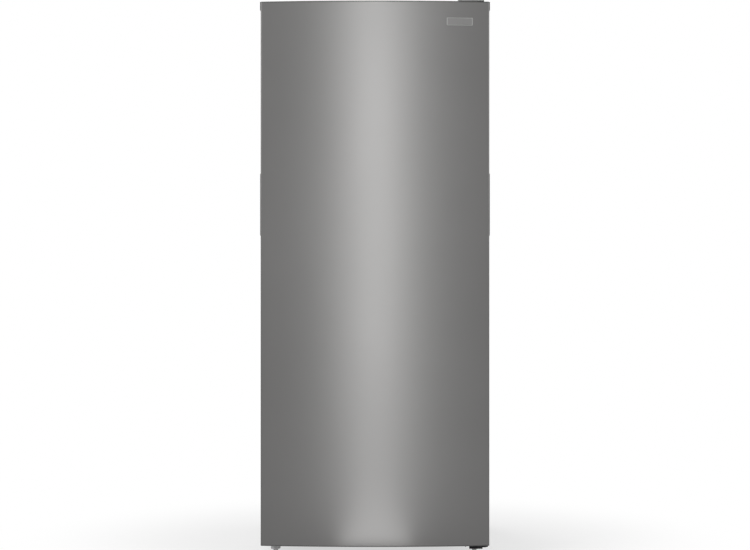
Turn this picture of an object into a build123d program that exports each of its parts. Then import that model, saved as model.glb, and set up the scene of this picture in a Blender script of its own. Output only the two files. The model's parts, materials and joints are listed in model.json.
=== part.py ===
from build123d import *

import math
import os

# Upright frost-free freezer, in millimetres. +Z is up, -Y is the front, +X is the hinge side.
# The origin is on the floor, in the middle of the width and of the whole depth.

# ---- cabinet, outside ----
CABINET_WIDTH = 694.0
CABINET_DEPTH = 643.0
BASE_HEIGHT = 44.0  # floor to the underside of the cabinet
SKIN = 0.8  # painted steel sheet
CABINET_BEVEL = 2.0
FLANGE = 45.0  # steel face that the magnetic gasket closes on
BACK_PANEL = 1.0

# ---- door, outside ----
DOOR_FLOOR_GAP = 36.0
DOOR_HEIGHT = 1650.0
DOOR_BOW = 22.0  # how far the middle of the door stands in front of its side edges
DOOR_EDGE_DEPTH = 48.0
DOOR_CORNER_R = 5.0
DOOR_SKIN = 0.8
DOOR_HEM = 9.0  # steel folded behind the door's edge
CAP_PLATE = 3.0
CAP_RIB = 10.0
CAP_WALL = 2.4
CAP_FIT = 0.1
CAP_PROUD = 2.0
CAP_SKIRT = 25.0
CAP_SKIRT_SETBACK = 5.0  # from the door's front edge and back to the skirt
STOP_LUG_INSET = 72.0  # from the door's side to the lug's middle
STOP_LUG = 4.5
STOP_LUG_LENGTH = 12.0

# ---- hinges ----
PIN_INSET = 28.0  # from the door's side to the pin
PIN_TO_DOOR_BACK = 34.0
PIN_R = 4.0
PIN_FIT = 0.08
PIN_HEAD_WIDTH = 13.0  # across the flats
PIN_HEAD = 3.0
PIN_ENGAGEMENT = 18.0
BUSH_WIDTH = 14.0  # across the flats
BUSH_LENGTH = 20.0
BUSH_COLLAR_WIDTH = 18.0
BUSH_COLLAR = 1.4
BOSS_WALL = 3.0
HINGE_PLATE = 3.0
HINGE_DOOR_GAP = 2.0  # between the door's top and the cabinet's top
HINGE_TONGUE_R = 9.0
HINGE_LEAF_WIDTH = 60.0
HINGE_LEAF_LENGTH = 80.0  # on the cabinet's top
HINGE_SCREW_PITCH = 24.0
COVER_RISE = 12.0  # cover's top above the cabinet's top
COVER_WIDTH = 79.0
COVER_SIDE_INSET = 16.0
COVER_FRONT = 16.0  # in front of the pin
COVER_LENGTH = 146.0
COVER_WALL = 1.6
COVER_BEVEL = 2.0
RUNNING_GAP = 0.3

# ---- feet, rollers and what carries them ----
BRACKET_PLATE = 3.0
BRACKET_INSET = 17.0  # from the cabinet's side to the bracket's outer edge
BRACKET_WIDTH = 41.0
BRACKET_DEPTH = 56.0
BRACKET_SKIRT_BOTTOM = 17.0
BRACKET_SCREW_PITCH = 18.0
BRACKET_SCREW_INSET = 9.0  # from the bracket's right and rear edges
BRACKET_SETBACK = 0.5  # from the cabinet's front to the bracket's upright face
LOWER_TONGUE_HALF = 24.0
LOWER_TONGUE_NOSE = 13.5  # in front of the pin
FOOT_INSET = 41.0  # from the cabinet's side to the foot's axis
FOOT_SETBACK = 24.0  # from the cabinet's front to the foot's axis
FOOT_COLLAR_R = 13.5
FOOT_PAD_R = 7.5
FOOT_PAD_HEIGHT = 14.5
FOOT_STEM_R = 5.0
FOOT_TRAVEL = 12.0
FOOT_ENGAGEMENT = 10.0  # thread left above the cabinet's underside when the foot is right down
FOOT_HOLE_CLEARANCE = 0.6
SUPPORT_TAB = 24.0
SUPPORT_TAB_WIDTH = 9.0
ROLLER_R = 17.0
ROLLER_WIDTH = 15.0
ROLLER_INSET = 47.0  # from the cabinet's side to the middle of the roller
ROLLER_SETBACK = 42.0  # from the cabinet's back
AXLE_R = 3.0
AXLE_FIT = 0.08
EAR_PLATE = 2.0
EAR_GAP = 0.5
EAR_HALF_LENGTH = 12.0
EAR_RIM = 5.0

# ---- door grips, one at each side because the door can be hung either way ----
GRIP_RISE = 115.5  # from the door's mid-height to the grip's lower end
GRIP_HEIGHT = 189.0
GRIP_PROUD = 1.7
GRIP_RIM = 3.5
GRIP_FRONT_SETBACK = 7.0
GRIP_BACK_SETBACK = 5.0
GRIP_DEPTH = 24.0
GRIP_WALL = 2.0
GRIP_CORNER = 6.0
GRIP_BEVEL = 1.2

# ---- bare plate at the door's top ----
PLATE_SIDE_GAP = 51.0  # from the door's right side to the plate
PLATE_WIDTH = 79.0
PLATE_TOP_GAP = 50.0  # from the door's top to the plate
PLATE_HEIGHT = 24.0
PLATE_THICKNESS = 1.4
PLATE_RIM = 2.4
PLATE_FIELD = 0.5
PLATE_CORNER = 1.5

# ---- insulation and cavity ----
SIDE_WALL = 62.0
TOP_WALL = 65.0
BACK_WALL = 62.0
FLOOR_WALL = 60.0
LINER = 2.0
CAVITY_CORNER_R = 24.0
CAVITY_BACK_BEVEL = 12.0
STEP_DEPTH = 172.0  # cavity's back to the front of the step over the machine compartment
STEP_HEIGHT = 190.0
STEP_WALL = 52.0
SLOPE = 62.0  # bevel of the machine compartment's upper front corner

# ---- shelves ----
SHELF_COUNT = 3
SHELF_RISE = 86.0  # from the step to the lowest shelf
SHELF_TOP_ROOM = 443.0  # over the top shelf
SHELF_BACK_GAP = 37.0  # from the shelves to the evaporator's cover
SHELF_FRONT = 128.0  # behind the cabinet's front
SHELF_SIDE_GAP = 2.0
SHELF_WIRE_COUNT = 15
SHELF_WIRE_INSET = 11.0  # from the rods' ends to the outer wires
WIRE = 3.4  # across the flats
ROD = 5.4
LEDGE_DEPTH = 11.0
LEDGE_HEIGHT = 15.0
LEDGE_OVERHANG = 12.0

# ---- basket and its rails ----
BASKET_FRONT = 132.0  # behind the cabinet's front
BASKET_BACK_GAP = 15.0  # from the basket's body to the step
BASKET_HEIGHT = 150.0
BASKET_FLOOR_GAP = 20.0
BASKET_BODY_GAP = 21.0  # from the cavity's wall to the basket's side
BASKET_WALL = 2.5
BASKET_FLOOR_WALL = 4.0
BASKET_TAPER = 4.0
BASKET_RIM = 3.0
BASKET_RIM_GAP = 3.0  # from the cavity's wall to the rim
BASKET_RIM_END = 8.0
BASKET_SLOT = 9.0
BASKET_FRONT_SLOTS = 9
BASKET_SIDE_SLOTS = 4
BASKET_FLOOR_SLOTS = 7
BASKET_SLOT_MARGIN = 30.0
BASKET_SLOT_INSET = 60.0  # from the basket's corners to its outer slots
RAIL_WALL = 2.0
RAIL_SHELF = 13.0
RAIL_OVERHANG = 14.0
HANDLE_WIDTH = 150.0
HANDLE_HEIGHT = 26.0
HANDLE_REACH = 13.0
HANDLE_WALL = 2.5
HANDLE_BEVEL = 4.0

# ---- evaporator bay ----
BAY_WIDTH = 470.0
BAY_RISE = 78.0  # from the step to the bay's bottom
BAY_TOP_GAP = 91.0  # from the bay's top to the cavity's ceiling
BAY_DEPTH = 66.0
BAY_WALL = 2.5
BAY_BEVEL = 3.0
SLOT_HEIGHT = 6.0
SLOT_WIDTH = 62.0
SLOT_PITCH = 14.0
SLOTS_PER_GROUP = 2
SLOT_X = 140.0
SLOT_RISE = 170.0  # from a shelf to the lowest slot above it
GRILLE_R = 60.0
GRILLE_SLOTS = 7
GRILLE_DROP = 287.0  # from the bay's top to the fan's axis
INTAKE_SLOTS = 9
INTAKE_HALF = 170.0
INTAKE_RISE = 20.0
INTAKE_HEIGHT = 34.0
COIL_WIDTH = 380.0
COIL_DEPTH = 44.0
COIL_RISE = 118.0  # from the bay's bottom to the cooling block
COIL_HEIGHT = 320.0
COIL_FINS = 9
COIL_PASSES = 4
FIN = 1.2
TUBE = 8.0
HEATER_DROP = 30.0
HEATER = 8.0
TROUGH_WIDTH = 400.0
TROUGH_DEPTH = 50.0
TROUGH_HEIGHT = 26.0
TROUGH_RISE = 60.0  # above the bay's bottom
TROUGH_WALL = 2.0
DRAIN_BORE = 16.0
DRAIN_WALL = 1.5
DRAIN_RUN = 30.0  # from the cavity's back to the falling pipe
DRAIN_FREE = 16.0  # pipe's end under the machine compartment's roof
FAN_R = 54.0
FAN_HUB_R = 17.0
FAN_HUB_LENGTH = 14.0
FAN_BLADES = 5
FAN_PITCH = 32.0
BLADE_WIDTH = 30.0
BLADE = 1.8
FAN_SETBACK = 12.5  # from the cover's inner face to the middle of the blades
FAN_SHAFT_R = 2.5
SHAFT_FIT = 0.06
SHAFT_LENGTH = 12.0
MOTOR_WIDTH = 44.0
MOTOR_LENGTH = 20.0
MOTOR_GAP = 2.0
MOTOR_SPAN = 62.0
MOTOR_POST = 8.0

# ---- lamp and control at the cavity's ceiling ----
CONTROL_WIDTH = 230.0
CONTROL_DEPTH = 120.0
CONTROL_HEIGHT = 36.0
CONTROL_FRONT = 118.0  # behind the cabinet's front
CONTROL_WALL = 2.0
CONTROL_BEVEL = 2.5
LENS_X = -36.0
LENS_WIDTH = 96.0
LENS_DEPTH = 46.0
LENS = 2.5
LENS_RIM = 4.0
LENS_FIT = 0.2
BOARD = 1.6
BOARD_WIDTH = 80.0
BOARD_DEPTH = 30.0
LED_COUNT = 4
LED_SIZE = 5.0
LED_HEIGHT = 1.6
DIAL_X = 78.0
DIAL_WIDTH = 26.0
DIAL_SIDES = 12
DIAL_BASE = 4.0
DIAL_LENGTH = 12.0
DIAL_GRIP = 5.0
DIAL_STEM_R = 3.0
DIAL_STEM = 10.0
DIAL_FIT = 0.08

# ---- machine compartment ----
MACHINE_SIDE = 24.0  # insulated side of the compartment, from the cabinet's outside
BASE_PAN = 1.6
BASE_PAN_FLANGE = 14.0
COMPRESSOR_X = 70.0
COMPRESSOR_FROM_BACK = 88.0
COMPRESSOR_LENGTH = 168.0
COMPRESSOR_WIDTH = 122.0
COMPRESSOR_HEIGHT = 118.0
COMPRESSOR_CORNER = 30.0
COMPRESSOR_DOME = 22.0
COMPRESSOR_SEAM = 4.0
STRAP = 3.0
STRAP_LENGTH = 196.0
STRAP_WIDTH = 128.0
MOUNT_WIDTH = 16.0
MOUNT_HEIGHT = 12.0
MOUNT_INSET = 12.0
PAN_WIDTH = 250.0
PAN_DEPTH = 116.0
PAN_HEIGHT = 24.0
PAN_WALL = 2.0
PAN_TAPER = 6.0
RELAY_WIDTH = 26.0
RELAY_DEPTH = 52.0
RELAY_HEIGHT = 48.0
REAR_COVER = 1.0
REAR_COVER_RECESS = 5.0
LOUVRE_ROWS = 5
LOUVRE_COLUMNS = 3
LOUVRE_WIDTH = 120.0
LOUVRE_HEIGHT = 6.0
LOUVRE_SPAN_X = 170.0
LOUVRE_SPAN_Z = 110.0
GLAND_INSET = 31.0  # from the machine compartment's side
GLAND_WIDTH = 22.0
GLAND_BORE = 8.0
GLAND_FLANGE = 2.0
GLAND_LENGTH = 8.0

# ---- warm condenser tube behind the side walls ----
CONDENSER_PASSES = 4
CONDENSER_PITCH = 120.0
CONDENSER_TUBE = 5.0
CONDENSER_TOP = 120.0  # under the cabinet's top
CONDENSER_BOTTOM = 380.0

# ---- door, inside ----
DYKE_HEIGHT = 44.0
DYKE_THICKNESS = 30.0
DYKE_SIDE_INSET = 84.0  # from the door's side
DYKE_END_INSET = 88.0  # from the door's top and bottom
DYKE_TAPER = 5.0
DYKE_CORNER = 16.0
DYKE_TIP_BEVEL = 4.0
RECESS_CORNER = 10.0
GASKET_GAP = 14.0  # door's back to the cabinet's front
GASKET_INSET = 25.0
GASKET_WIDTH = 18.0
GASKET_BASE = 3.0
GASKET_HEAD = 5.0
GASKET_HEAD_INSET = 1.5
GASKET_WALL = 1.4
MAGNET = 2.2
MAGNET_FIT = 0.1
BIN_COUNT = 5
BIN_FLOOR_GAP = 36.0  # from the lower dyke to the lowest bin
BIN_TOP_ROOM = 210.0  # from the top bin's floor to the upper dyke
BIN_REACH = 108.0  # from the gasket's seat into the cabinet
BIN_HEIGHT = 88.0
BIN_BACK_HEIGHT = 60.0
BIN_WALL = 2.5
BIN_LEAN = 9.0
BIN_SIDE_GAP = 6.5
BIN_PANEL_GAP = 1.0
BIN_CORNER = 14.0
BIN_RIM = 4.5
LUG_RISE = 18.0  # from the bin's floor to the lug's lower end
LUG_HEIGHT = 28.0
LUG_WIDTH = 12.0
LUG_REACH = 5.0
LUG_SETBACK = 20.0  # from the panel between the dykes to the lug's middle
LUG_FIT = 0.3
SADDLE_WALL = 3.0

# ---- fasteners ----
SCREW_HEAD = 9.0  # across the flats
SCREW_HEAD_HEIGHT = 3.5
COVER_SCREW_INSET = 14.0  # from the rear cover's edges
PLUG_WIDTH = 10.0
PLUG_HEIGHT = 1.5

# ---- levels and lines worked out from the sizes above ----
HALF_WIDTH = CABINET_WIDTH / 2
OVERALL_DEPTH = DOOR_BOW + DOOR_EDGE_DEPTH + GASKET_GAP + CABINET_DEPTH
DOOR_FRONT = -OVERALL_DEPTH / 2
DOOR_EDGE = DOOR_FRONT + DOOR_BOW
DOOR_BACK = DOOR_EDGE + DOOR_EDGE_DEPTH
CABINET_FRONT = DOOR_BACK + GASKET_GAP
CABINET_BACK = CABINET_FRONT + CABINET_DEPTH
DOOR_BOTTOM = DOOR_FLOOR_GAP
DOOR_TOP = DOOR_BOTTOM + DOOR_HEIGHT
CABINET_TOP = DOOR_TOP + HINGE_DOOR_GAP
BOW_R = (HALF_WIDTH**2 + DOOR_BOW**2) / (2 * DOOR_BOW)
PIN_X = HALF_WIDTH - PIN_INSET
PIN_Y = DOOR_BACK - PIN_TO_DOOR_BACK
LOWER_TONGUE_TOP = DOOR_BOTTOM - BUSH_COLLAR - RUNNING_GAP
STOP_LUG_X = HALF_WIDTH - STOP_LUG_INSET
BRACKET_RIGHT = HALF_WIDTH - BRACKET_INSET
BRACKET_LEFT = BRACKET_RIGHT - BRACKET_WIDTH
BRACKET_FRONT = CABINET_FRONT + BRACKET_SETBACK
BRACKET_BOTTOM = BASE_HEIGHT - BRACKET_PLATE

CAVITY_HALF = HALF_WIDTH - SIDE_WALL
CAVITY_TOP = CABINET_TOP - TOP_WALL
CAVITY_BACK = CABINET_BACK - BACK_WALL
CAVITY_FLOOR = BASE_HEIGHT + FLOOR_WALL
STEP_FRONT = CAVITY_BACK - STEP_DEPTH
STEP_TOP = CAVITY_FLOOR + STEP_HEIGHT
MACHINE_FRONT = STEP_FRONT + STEP_WALL
MACHINE_TOP = STEP_TOP - STEP_WALL
MACHINE_HALF = HALF_WIDTH - MACHINE_SIDE
FOOT_X = HALF_WIDTH - FOOT_INSET
FOOT_Y = CABINET_FRONT + FOOT_SETBACK
ROLLER_X = HALF_WIDTH - ROLLER_INSET
ROLLER_Y = CABINET_BACK - ROLLER_SETBACK
FOOT_TOP = BASE_HEIGHT + FOOT_TRAVEL + FOOT_ENGAGEMENT

BAY_FRONT = CAVITY_BACK - BAY_DEPTH
BAY_BOTTOM = STEP_TOP + BAY_RISE
BAY_TOP = CAVITY_TOP - BAY_TOP_GAP
GRILLE_CENTRE = BAY_TOP - GRILLE_DROP
COIL_BOTTOM = BAY_BOTTOM + COIL_RISE
FAN_Y = BAY_FRONT + BAY_WALL + FAN_SETBACK
MOTOR_FRONT = FAN_Y + FAN_HUB_LENGTH / 2 + MOTOR_GAP
TROUGH_Z = BAY_BOTTOM + TROUGH_RISE

SHELF_START = CABINET_FRONT + SHELF_FRONT
SHELF_DEPTH = BAY_FRONT - SHELF_BACK_GAP - SHELF_START
SHELF_FIRST = STEP_TOP + SHELF_RISE
SHELF_PITCH = (CAVITY_TOP - SHELF_TOP_ROOM - SHELF_FIRST) / (SHELF_COUNT - 1)
SHELF_LEVELS = [SHELF_FIRST + SHELF_PITCH * i for i in range(SHELF_COUNT)]
SHELF_DROP = WIRE + ROD  # from a shelf's top to its rods' underside
BASKET_START = CABINET_FRONT + BASKET_FRONT
BASKET_END = STEP_FRONT - BASKET_BACK_GAP
BASKET_DEPTH = BASKET_END - BASKET_START
BASKET_FLOOR = CAVITY_FLOOR + BASKET_FLOOR_GAP
BASKET_TOP = BASKET_FLOOR + BASKET_HEIGHT
BASKET_HALF = CAVITY_HALF - BASKET_BODY_GAP

CONTROL_START = CABINET_FRONT + CONTROL_FRONT
CONTROL_BOTTOM = CAVITY_TOP - CONTROL_HEIGHT
LENS_Y = CONTROL_START + CONTROL_DEPTH / 2

REAR_COVER_OUTSIDE = CABINET_BACK - REAR_COVER_RECESS
REAR_COVER_INSIDE = REAR_COVER_OUTSIDE - REAR_COVER
COMPRESSOR_Y = CABINET_BACK - COMPRESSOR_FROM_BACK
STRAP_BOTTOM = BASE_HEIGHT + BASE_PAN + MOUNT_HEIGHT
COMPRESSOR_BOTTOM = STRAP_BOTTOM + STRAP
COMPRESSOR_TOP = COMPRESSOR_BOTTOM + COMPRESSOR_HEIGHT
GLAND_X = GLAND_INSET - MACHINE_HALF

DYKE_HALF = HALF_WIDTH - DYKE_SIDE_INSET
RECESS_HALF = DYKE_HALF - DYKE_THICKNESS
DOOR_MIDDLE = (DOOR_BOTTOM + DOOR_TOP) / 2
DYKE_LENGTH = DOOR_HEIGHT - 2 * DYKE_END_INSET
RECESS_Z = (DOOR_MIDDLE - DYKE_LENGTH / 2 + DYKE_THICKNESS, DOOR_MIDDLE + DYKE_LENGTH / 2 - DYKE_THICKNESS)
GASKET_HALF = HALF_WIDTH - GASKET_INSET
GASKET_Z = (DOOR_BOTTOM + GASKET_INSET, DOOR_TOP - GASKET_INSET)
BIN_FIRST = RECESS_Z[0] + BIN_FLOOR_GAP
BIN_PITCH = (RECESS_Z[1] - BIN_TOP_ROOM - BIN_FIRST) / (BIN_COUNT - 1)
BIN_LEVELS = [BIN_FIRST + BIN_PITCH * i for i in range(BIN_COUNT)]
BIN_HALF = RECESS_HALF - BIN_SIDE_GAP
BIN_START = DOOR_BACK + BIN_PANEL_GAP
BIN_TIP = DOOR_BACK + BIN_REACH
LUG_Y = DOOR_BACK + LUG_SETBACK
GRIP_Y = (DOOR_EDGE + GRIP_FRONT_SETBACK, DOOR_BACK - GRIP_BACK_SETBACK)
GRIP_BOTTOM = DOOR_MIDDLE + GRIP_RISE
PLATE_X = HALF_WIDTH - PLATE_SIDE_GAP - PLATE_WIDTH / 2
PLATE_Z = DOOR_TOP - PLATE_TOP_GAP - PLATE_HEIGHT / 2


# ---- shapes that are used often ----
def block(x, y, z):
    """A box from (low, high) pairs along X, Y and Z."""
    centre = Pos((x[0] + x[1]) / 2, (y[0] + y[1]) / 2, (z[0] + z[1]) / 2)
    return centre * Box(x[1] - x[0], y[1] - y[0], z[1] - z[0])


def centred(half, middle=0.0):
    """The (low, high) pair that lies evenly about the middle."""
    return (middle - half, middle + half)


def rod(start, end, radius):
    """A round rod between two points."""
    start = Vector(*start)
    run = Vector(*end) - start
    return extrude(Plane(origin=start, z_dir=run) * Circle(radius), amount=run.length)


def disc(x, y, z, radius):
    """An upright round rod from the first to the second of the z pair."""
    return rod((x, y, z[0]), (x, y, z[1]), radius)


def polygon(across_flats, sides):
    """A regular outline with the given width across its flats."""
    return RegularPolygon(across_flats / 2, sides, major_radius=False)


def bevelled(width, height, corner):
    """A rectangle with its four corners cut off."""
    return chamfer(Rectangle(width, height).vertices(), corner)


def inner_bevel(bevel, inset):
    """The bevel that keeps a wall's thickness when a bevelled form is moved inwards by the inset."""
    return bevel - inset * (2 - math.sqrt(2))


def hex_bar(start, end, across_flats, flat):
    """A six-sided wire between two points; flat is a direction that lies in two of its faces."""
    start = Vector(*start)
    run = Vector(*end) - start
    return extrude(Plane(origin=start, x_dir=flat, z_dir=run) * polygon(across_flats, 6), amount=run.length)


def pipe(points, across_flats, sides):
    """A many-sided bar along straight runs with mitred corners."""
    start, second = Vector(*points[0]), Vector(*points[1])
    section = Plane(origin=start, z_dir=second - start) * polygon(across_flats, sides)
    return sweep(section, path=Polyline(*points), transition=Transition.RIGHT)


def faceted(x, y, z, across_flats, sides):
    """An upright many-sided bar from the first to the second of the z pair."""
    return extrude(Pos(x, y, z[0]) * polygon(across_flats, sides), amount=z[1] - z[0])


def across_prism(points, half):
    """A solid with an outline of (y, z) points, from -half to half along X."""
    outline = make_face(Plane.YZ * Polyline(*points, close=True))
    return Pos(-half, 0, 0) * extrude(outline, amount=2 * half, dir=(1, 0, 0))


def joined(parts):
    """One solid made of pieces that touch."""
    return parts[0].fuse(*parts[1:])


def spread(count, half, middle=0.0):
    """Evenly spaced places across both sides of the middle."""
    return [middle - half + 2 * half * i / (count - 1) for i in range(count)]


def both_sides(part):
    """The part and its mirror image in the middle plane."""
    return [part, mirror(part, about=Plane.YZ)]


def upright_ring(outer, z, y, width):
    """A rectangular frame across the door: its half width, (low, high) pairs and its members' width."""
    hole = block(centred(outer - width), y, (z[0] + width, z[1] - width))
    return block(centred(outer), y, z) - hole


def screw(place, direction):
    """A hexagon head whose seat is at the place."""
    return extrude(Plane(origin=place, z_dir=direction) * polygon(SCREW_HEAD, 6), amount=SCREW_HEAD_HEIGHT)


def save(name, parts):
    """Writes one node; several pieces stay separate solids."""
    solids = [s for p in (parts if isinstance(parts, list) else [parts]) for s in p.solids()]
    shape = solids[0] if len(solids) == 1 else Compound(children=solids)
    export_step(shape, f"parts/{name}.step")


# ---- cabinet ----
def cabinet_form(inset):
    """The cabinet's outer form, moved inwards at its top, sides and front, with rounded edges there."""
    half, front, top = HALF_WIDTH - inset, CABINET_FRONT + inset, CABINET_TOP - inset
    form = block(centred(half), (front, CABINET_BACK), (BASE_HEIGHT, top))
    edges = form.edges().filter_by(Axis.Z).group_by(Axis.Y)[0]
    edges += form.faces().sort_by(Axis.Z)[-1].edges().sort_by(Axis.Y)[:3]
    return chamfer(edges, inner_bevel(CABINET_BEVEL, inset))


def front_opening():
    """The room between the steel faces at the cabinet's front, over the lower rail."""
    return block(centred(HALF_WIDTH - FLANGE), (CABINET_FRONT, CABINET_FRONT + LINER),
                 (CAVITY_FLOOR - LINER, CABINET_TOP - FLANGE))


def cabinet_wrapper():
    """Painted steel sheet bent round the sides and the top, with a face turned in at the front."""
    mouth = block(centred(HALF_WIDTH - FLANGE), (CABINET_FRONT, CABINET_FRONT + SKIN),
                  (BASE_HEIGHT, CABINET_TOP - FLANGE))
    return cabinet_form(0) - cabinet_form(SKIN) - mouth


def front_rail():
    """Steel rail that closes the front under the cavity and carries the gasket's lower run."""
    half = HALF_WIDTH - FLANGE
    face = block(centred(half), (CABINET_FRONT, CABINET_FRONT + SKIN), (BASE_HEIGHT, CAVITY_FLOOR - LINER))
    lip = block(centred(half), (CABINET_FRONT + SKIN, CABINET_FRONT + FLANGE),
                (BASE_HEIGHT, BASE_HEIGHT + SKIN))
    return face + lip - foot_holes()


def cabinet_back():
    """Flat steel sheet that closes the back, cut out for the machine compartment."""
    sheet = cabinet_form(SKIN) & block(centred(HALF_WIDTH), (CABINET_BACK - BACK_PANEL, CABINET_BACK),
                                       (BASE_HEIGHT, CABINET_TOP))
    return sheet - machine_room(0)


def foot_holes():
    """Clear holes for the threads of the two levelling feet."""
    z = (BRACKET_BOTTOM, FOOT_TOP + RUNNING_GAP)
    return both_sides(faceted(FOOT_X, FOOT_Y, z, 2 * (FOOT_STEM_R + FOOT_HOLE_CLEARANCE), 6))


def machine_room(grow):
    """The machine compartment's tunnel, open at the back and below, grown by a sheet's thickness."""
    corner = grow * (math.sqrt(2) - 1)
    points = [
        (MACHINE_FRONT - grow, BASE_HEIGHT),
        (MACHINE_FRONT - grow, MACHINE_TOP - SLOPE + corner),
        (MACHINE_FRONT + SLOPE - corner, MACHINE_TOP + grow),
        (CABINET_BACK, MACHINE_TOP + grow),
        (CABINET_BACK, BASE_HEIGHT),
    ]
    return across_prism(points, MACHINE_HALF + grow)


def bottom_panel():
    """Steel sheet under the foam, with the tunnel of the machine compartment drawn up in it."""
    y = (CABINET_FRONT, CABINET_BACK - BACK_PANEL)
    floor = cabinet_form(SKIN) & block(centred(HALF_WIDTH), y, (BASE_HEIGHT, BASE_HEIGHT + SKIN))
    rail = block(centred(HALF_WIDTH - FLANGE), (y[0], y[0] + FLANGE), (BASE_HEIGHT, BASE_HEIGHT + SKIN))
    tunnel = machine_room(SKIN) & block(centred(HALF_WIDTH), y, (BASE_HEIGHT, STEP_TOP))
    return floor - rail + tunnel - machine_room(0) - foot_holes() - drain_way(DRAIN_WALL + RUNNING_GAP)


def cavity_form(grow):
    """The cavity's room, open at the front, with the step over the machine compartment left out."""
    half, floor, top = CAVITY_HALF + grow, CAVITY_FLOOR - grow, CAVITY_TOP + grow
    back = CAVITY_BACK + grow
    mouth = RectangleRounded(2 * half, top - floor, CAVITY_CORNER_R + grow)
    outline = Plane.XZ.offset(-back) * Pos(0, (floor + top) / 2) * mouth
    room = extrude(outline, amount=back - CABINET_FRONT, dir=(0, -1, 0))
    room = chamfer(room.faces().sort_by(Axis.Y)[-1].edges(), inner_bevel(CAVITY_BACK_BEVEL, -grow))
    step = block(centred(HALF_WIDTH), (STEP_FRONT + grow, CABINET_BACK), (BASE_HEIGHT, STEP_TOP - grow))
    return room - step


def shelf_ledge(level):
    """Moulded ledge on the right wall under one shelf, sloped underneath for the mould."""
    x, z = CAVITY_HALF, level - SHELF_DROP
    points = [(x, z), (x - LEDGE_DEPTH, z), (x - LEDGE_DEPTH, z - LEDGE_HEIGHT / 2), (x, z - LEDGE_HEIGHT)]
    outline = make_face(Plane.XZ * Polyline(*points, close=True))
    length = SHELF_DEPTH + LEDGE_OVERHANG
    return Pos(0, SHELF_START + SHELF_DEPTH, 0) * extrude(outline, amount=length, dir=(0, -1, 0))


def cabinet_liner():
    """White thermoformed lining with its front face and the ledges under the shelves."""
    shell = cavity_form(LINER) + front_opening() - cavity_form(0)
    ledges = [ledge for level in SHELF_LEVELS for ledge in both_sides(shelf_ledge(level))]
    return shell.fuse(*ledges) - drain_way(DRAIN_WALL + RUNNING_GAP)


def cabinet_foam():
    """Foamed insulation between the steel and the lining."""
    body = cabinet_form(SKIN) & block(centred(HALF_WIDTH), (CABINET_FRONT, CABINET_BACK - BACK_PANEL),
                                      (BASE_HEIGHT + SKIN, CABINET_TOP))
    hollows = cavity_form(LINER) + front_opening() + machine_room(SKIN)
    return body - hollows - foot_holes() - drain_way(DRAIN_WALL + RUNNING_GAP) - condenser_loop()


def condenser_loop():
    """Flattened tube that winds up and down inside each side wall and warms the steel."""
    half = CONDENSER_TUBE / 2
    x = centred(half, HALF_WIDTH - SKIN - half)
    z = (CONDENSER_BOTTOM, CABINET_TOP - CONDENSER_TOP)
    middle = (CABINET_FRONT + CABINET_BACK) / 2
    lines = spread(CONDENSER_PASSES, CONDENSER_PITCH * (CONDENSER_PASSES - 1) / 2, middle)
    runs = [block(x, centred(half, y), z) for y in lines]
    for i, (start, end) in enumerate(zip(lines, lines[1:])):
        bend = z[1] - half if i % 2 == 0 else z[0] + half
        runs.append(block(x, (start - half, end + half), centred(half, bend)))
    return both_sides(joined(runs))


# ---- evaporator bay ----
def evaporator_cover():
    """White moulded cover with the outlets, the fan's grille and the return slots."""
    half = BAY_WIDTH / 2
    outer = block(centred(half), (BAY_FRONT, CAVITY_BACK), (BAY_BOTTOM, BAY_TOP))
    outer = chamfer(outer.faces().sort_by(Axis.Y)[0].edges(), BAY_BEVEL)
    inner = block(centred(half - BAY_WALL), (BAY_FRONT + BAY_WALL, CAVITY_BACK),
                  (BAY_BOTTOM + BAY_WALL, BAY_TOP - BAY_WALL))
    return outer - inner - (outlet_slots() + grille_slots() + intake_slots())


def bay_slot(x, z, width, height):
    """A cut through the bay's front wall, centred on x, with its lower edge at z."""
    return block(centred(width / 2, x), centred(BAY_WALL * 2, BAY_FRONT), (z, z + height))


def outlet_slots():
    """Groups of level slots above each shelf, clear of the fan's grille."""
    rises = [SLOT_RISE + SLOT_PITCH * row for row in range(SLOTS_PER_GROUP)]
    return [bay_slot(side * SLOT_X, level + rise, SLOT_WIDTH, SLOT_HEIGHT)
            for level in SHELF_LEVELS for rise in rises for side in (-1, 1)]


def grille_slots():
    """Level slots that fill a round field in front of the fan."""
    slots = []
    for rise in spread(GRILLE_SLOTS, GRILLE_R - SLOT_HEIGHT):
        width = 2 * math.sqrt(GRILLE_R**2 - rise**2)
        slots.append(bay_slot(0, GRILLE_CENTRE + rise - SLOT_HEIGHT / 2, width, SLOT_HEIGHT))
    return slots


def intake_slots():
    """Upright slots near the bottom, where the air goes back in."""
    return [bay_slot(x, BAY_BOTTOM + INTAKE_RISE, SLOT_HEIGHT, INTAKE_HEIGHT)
            for x in spread(INTAKE_SLOTS, INTAKE_HALF)]


def evaporator_coil():
    """Finned cooling block: a tube that runs to and fro against upright fins."""
    z = (COIL_BOTTOM, COIL_BOTTOM + COIL_HEIGHT)
    back = CAVITY_BACK
    fin_front = back - COIL_DEPTH + TUBE
    spine = block(centred(COIL_WIDTH / 2), (back - FIN, back), z)
    fins = [block(centred(FIN / 2, x), (fin_front, back - FIN), z)
            for x in spread(COIL_FINS, COIL_WIDTH / 2 - FIN)]
    half, y = TUBE / 2, (fin_front - TUBE, fin_front)
    levels = spread(COIL_PASSES, COIL_HEIGHT / 2 - TUBE, sum(z) / 2)
    passes = [block(centred(COIL_WIDTH / 2), y, centred(half, level)) for level in levels]
    for i, (low, high) in enumerate(zip(levels, levels[1:])):
        end = COIL_WIDTH / 2 - half if i % 2 == 0 else half - COIL_WIDTH / 2
        passes.append(block(centred(half, end), y, (low - half, high + half)))
    return joined([spine] + fins + passes)


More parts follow.
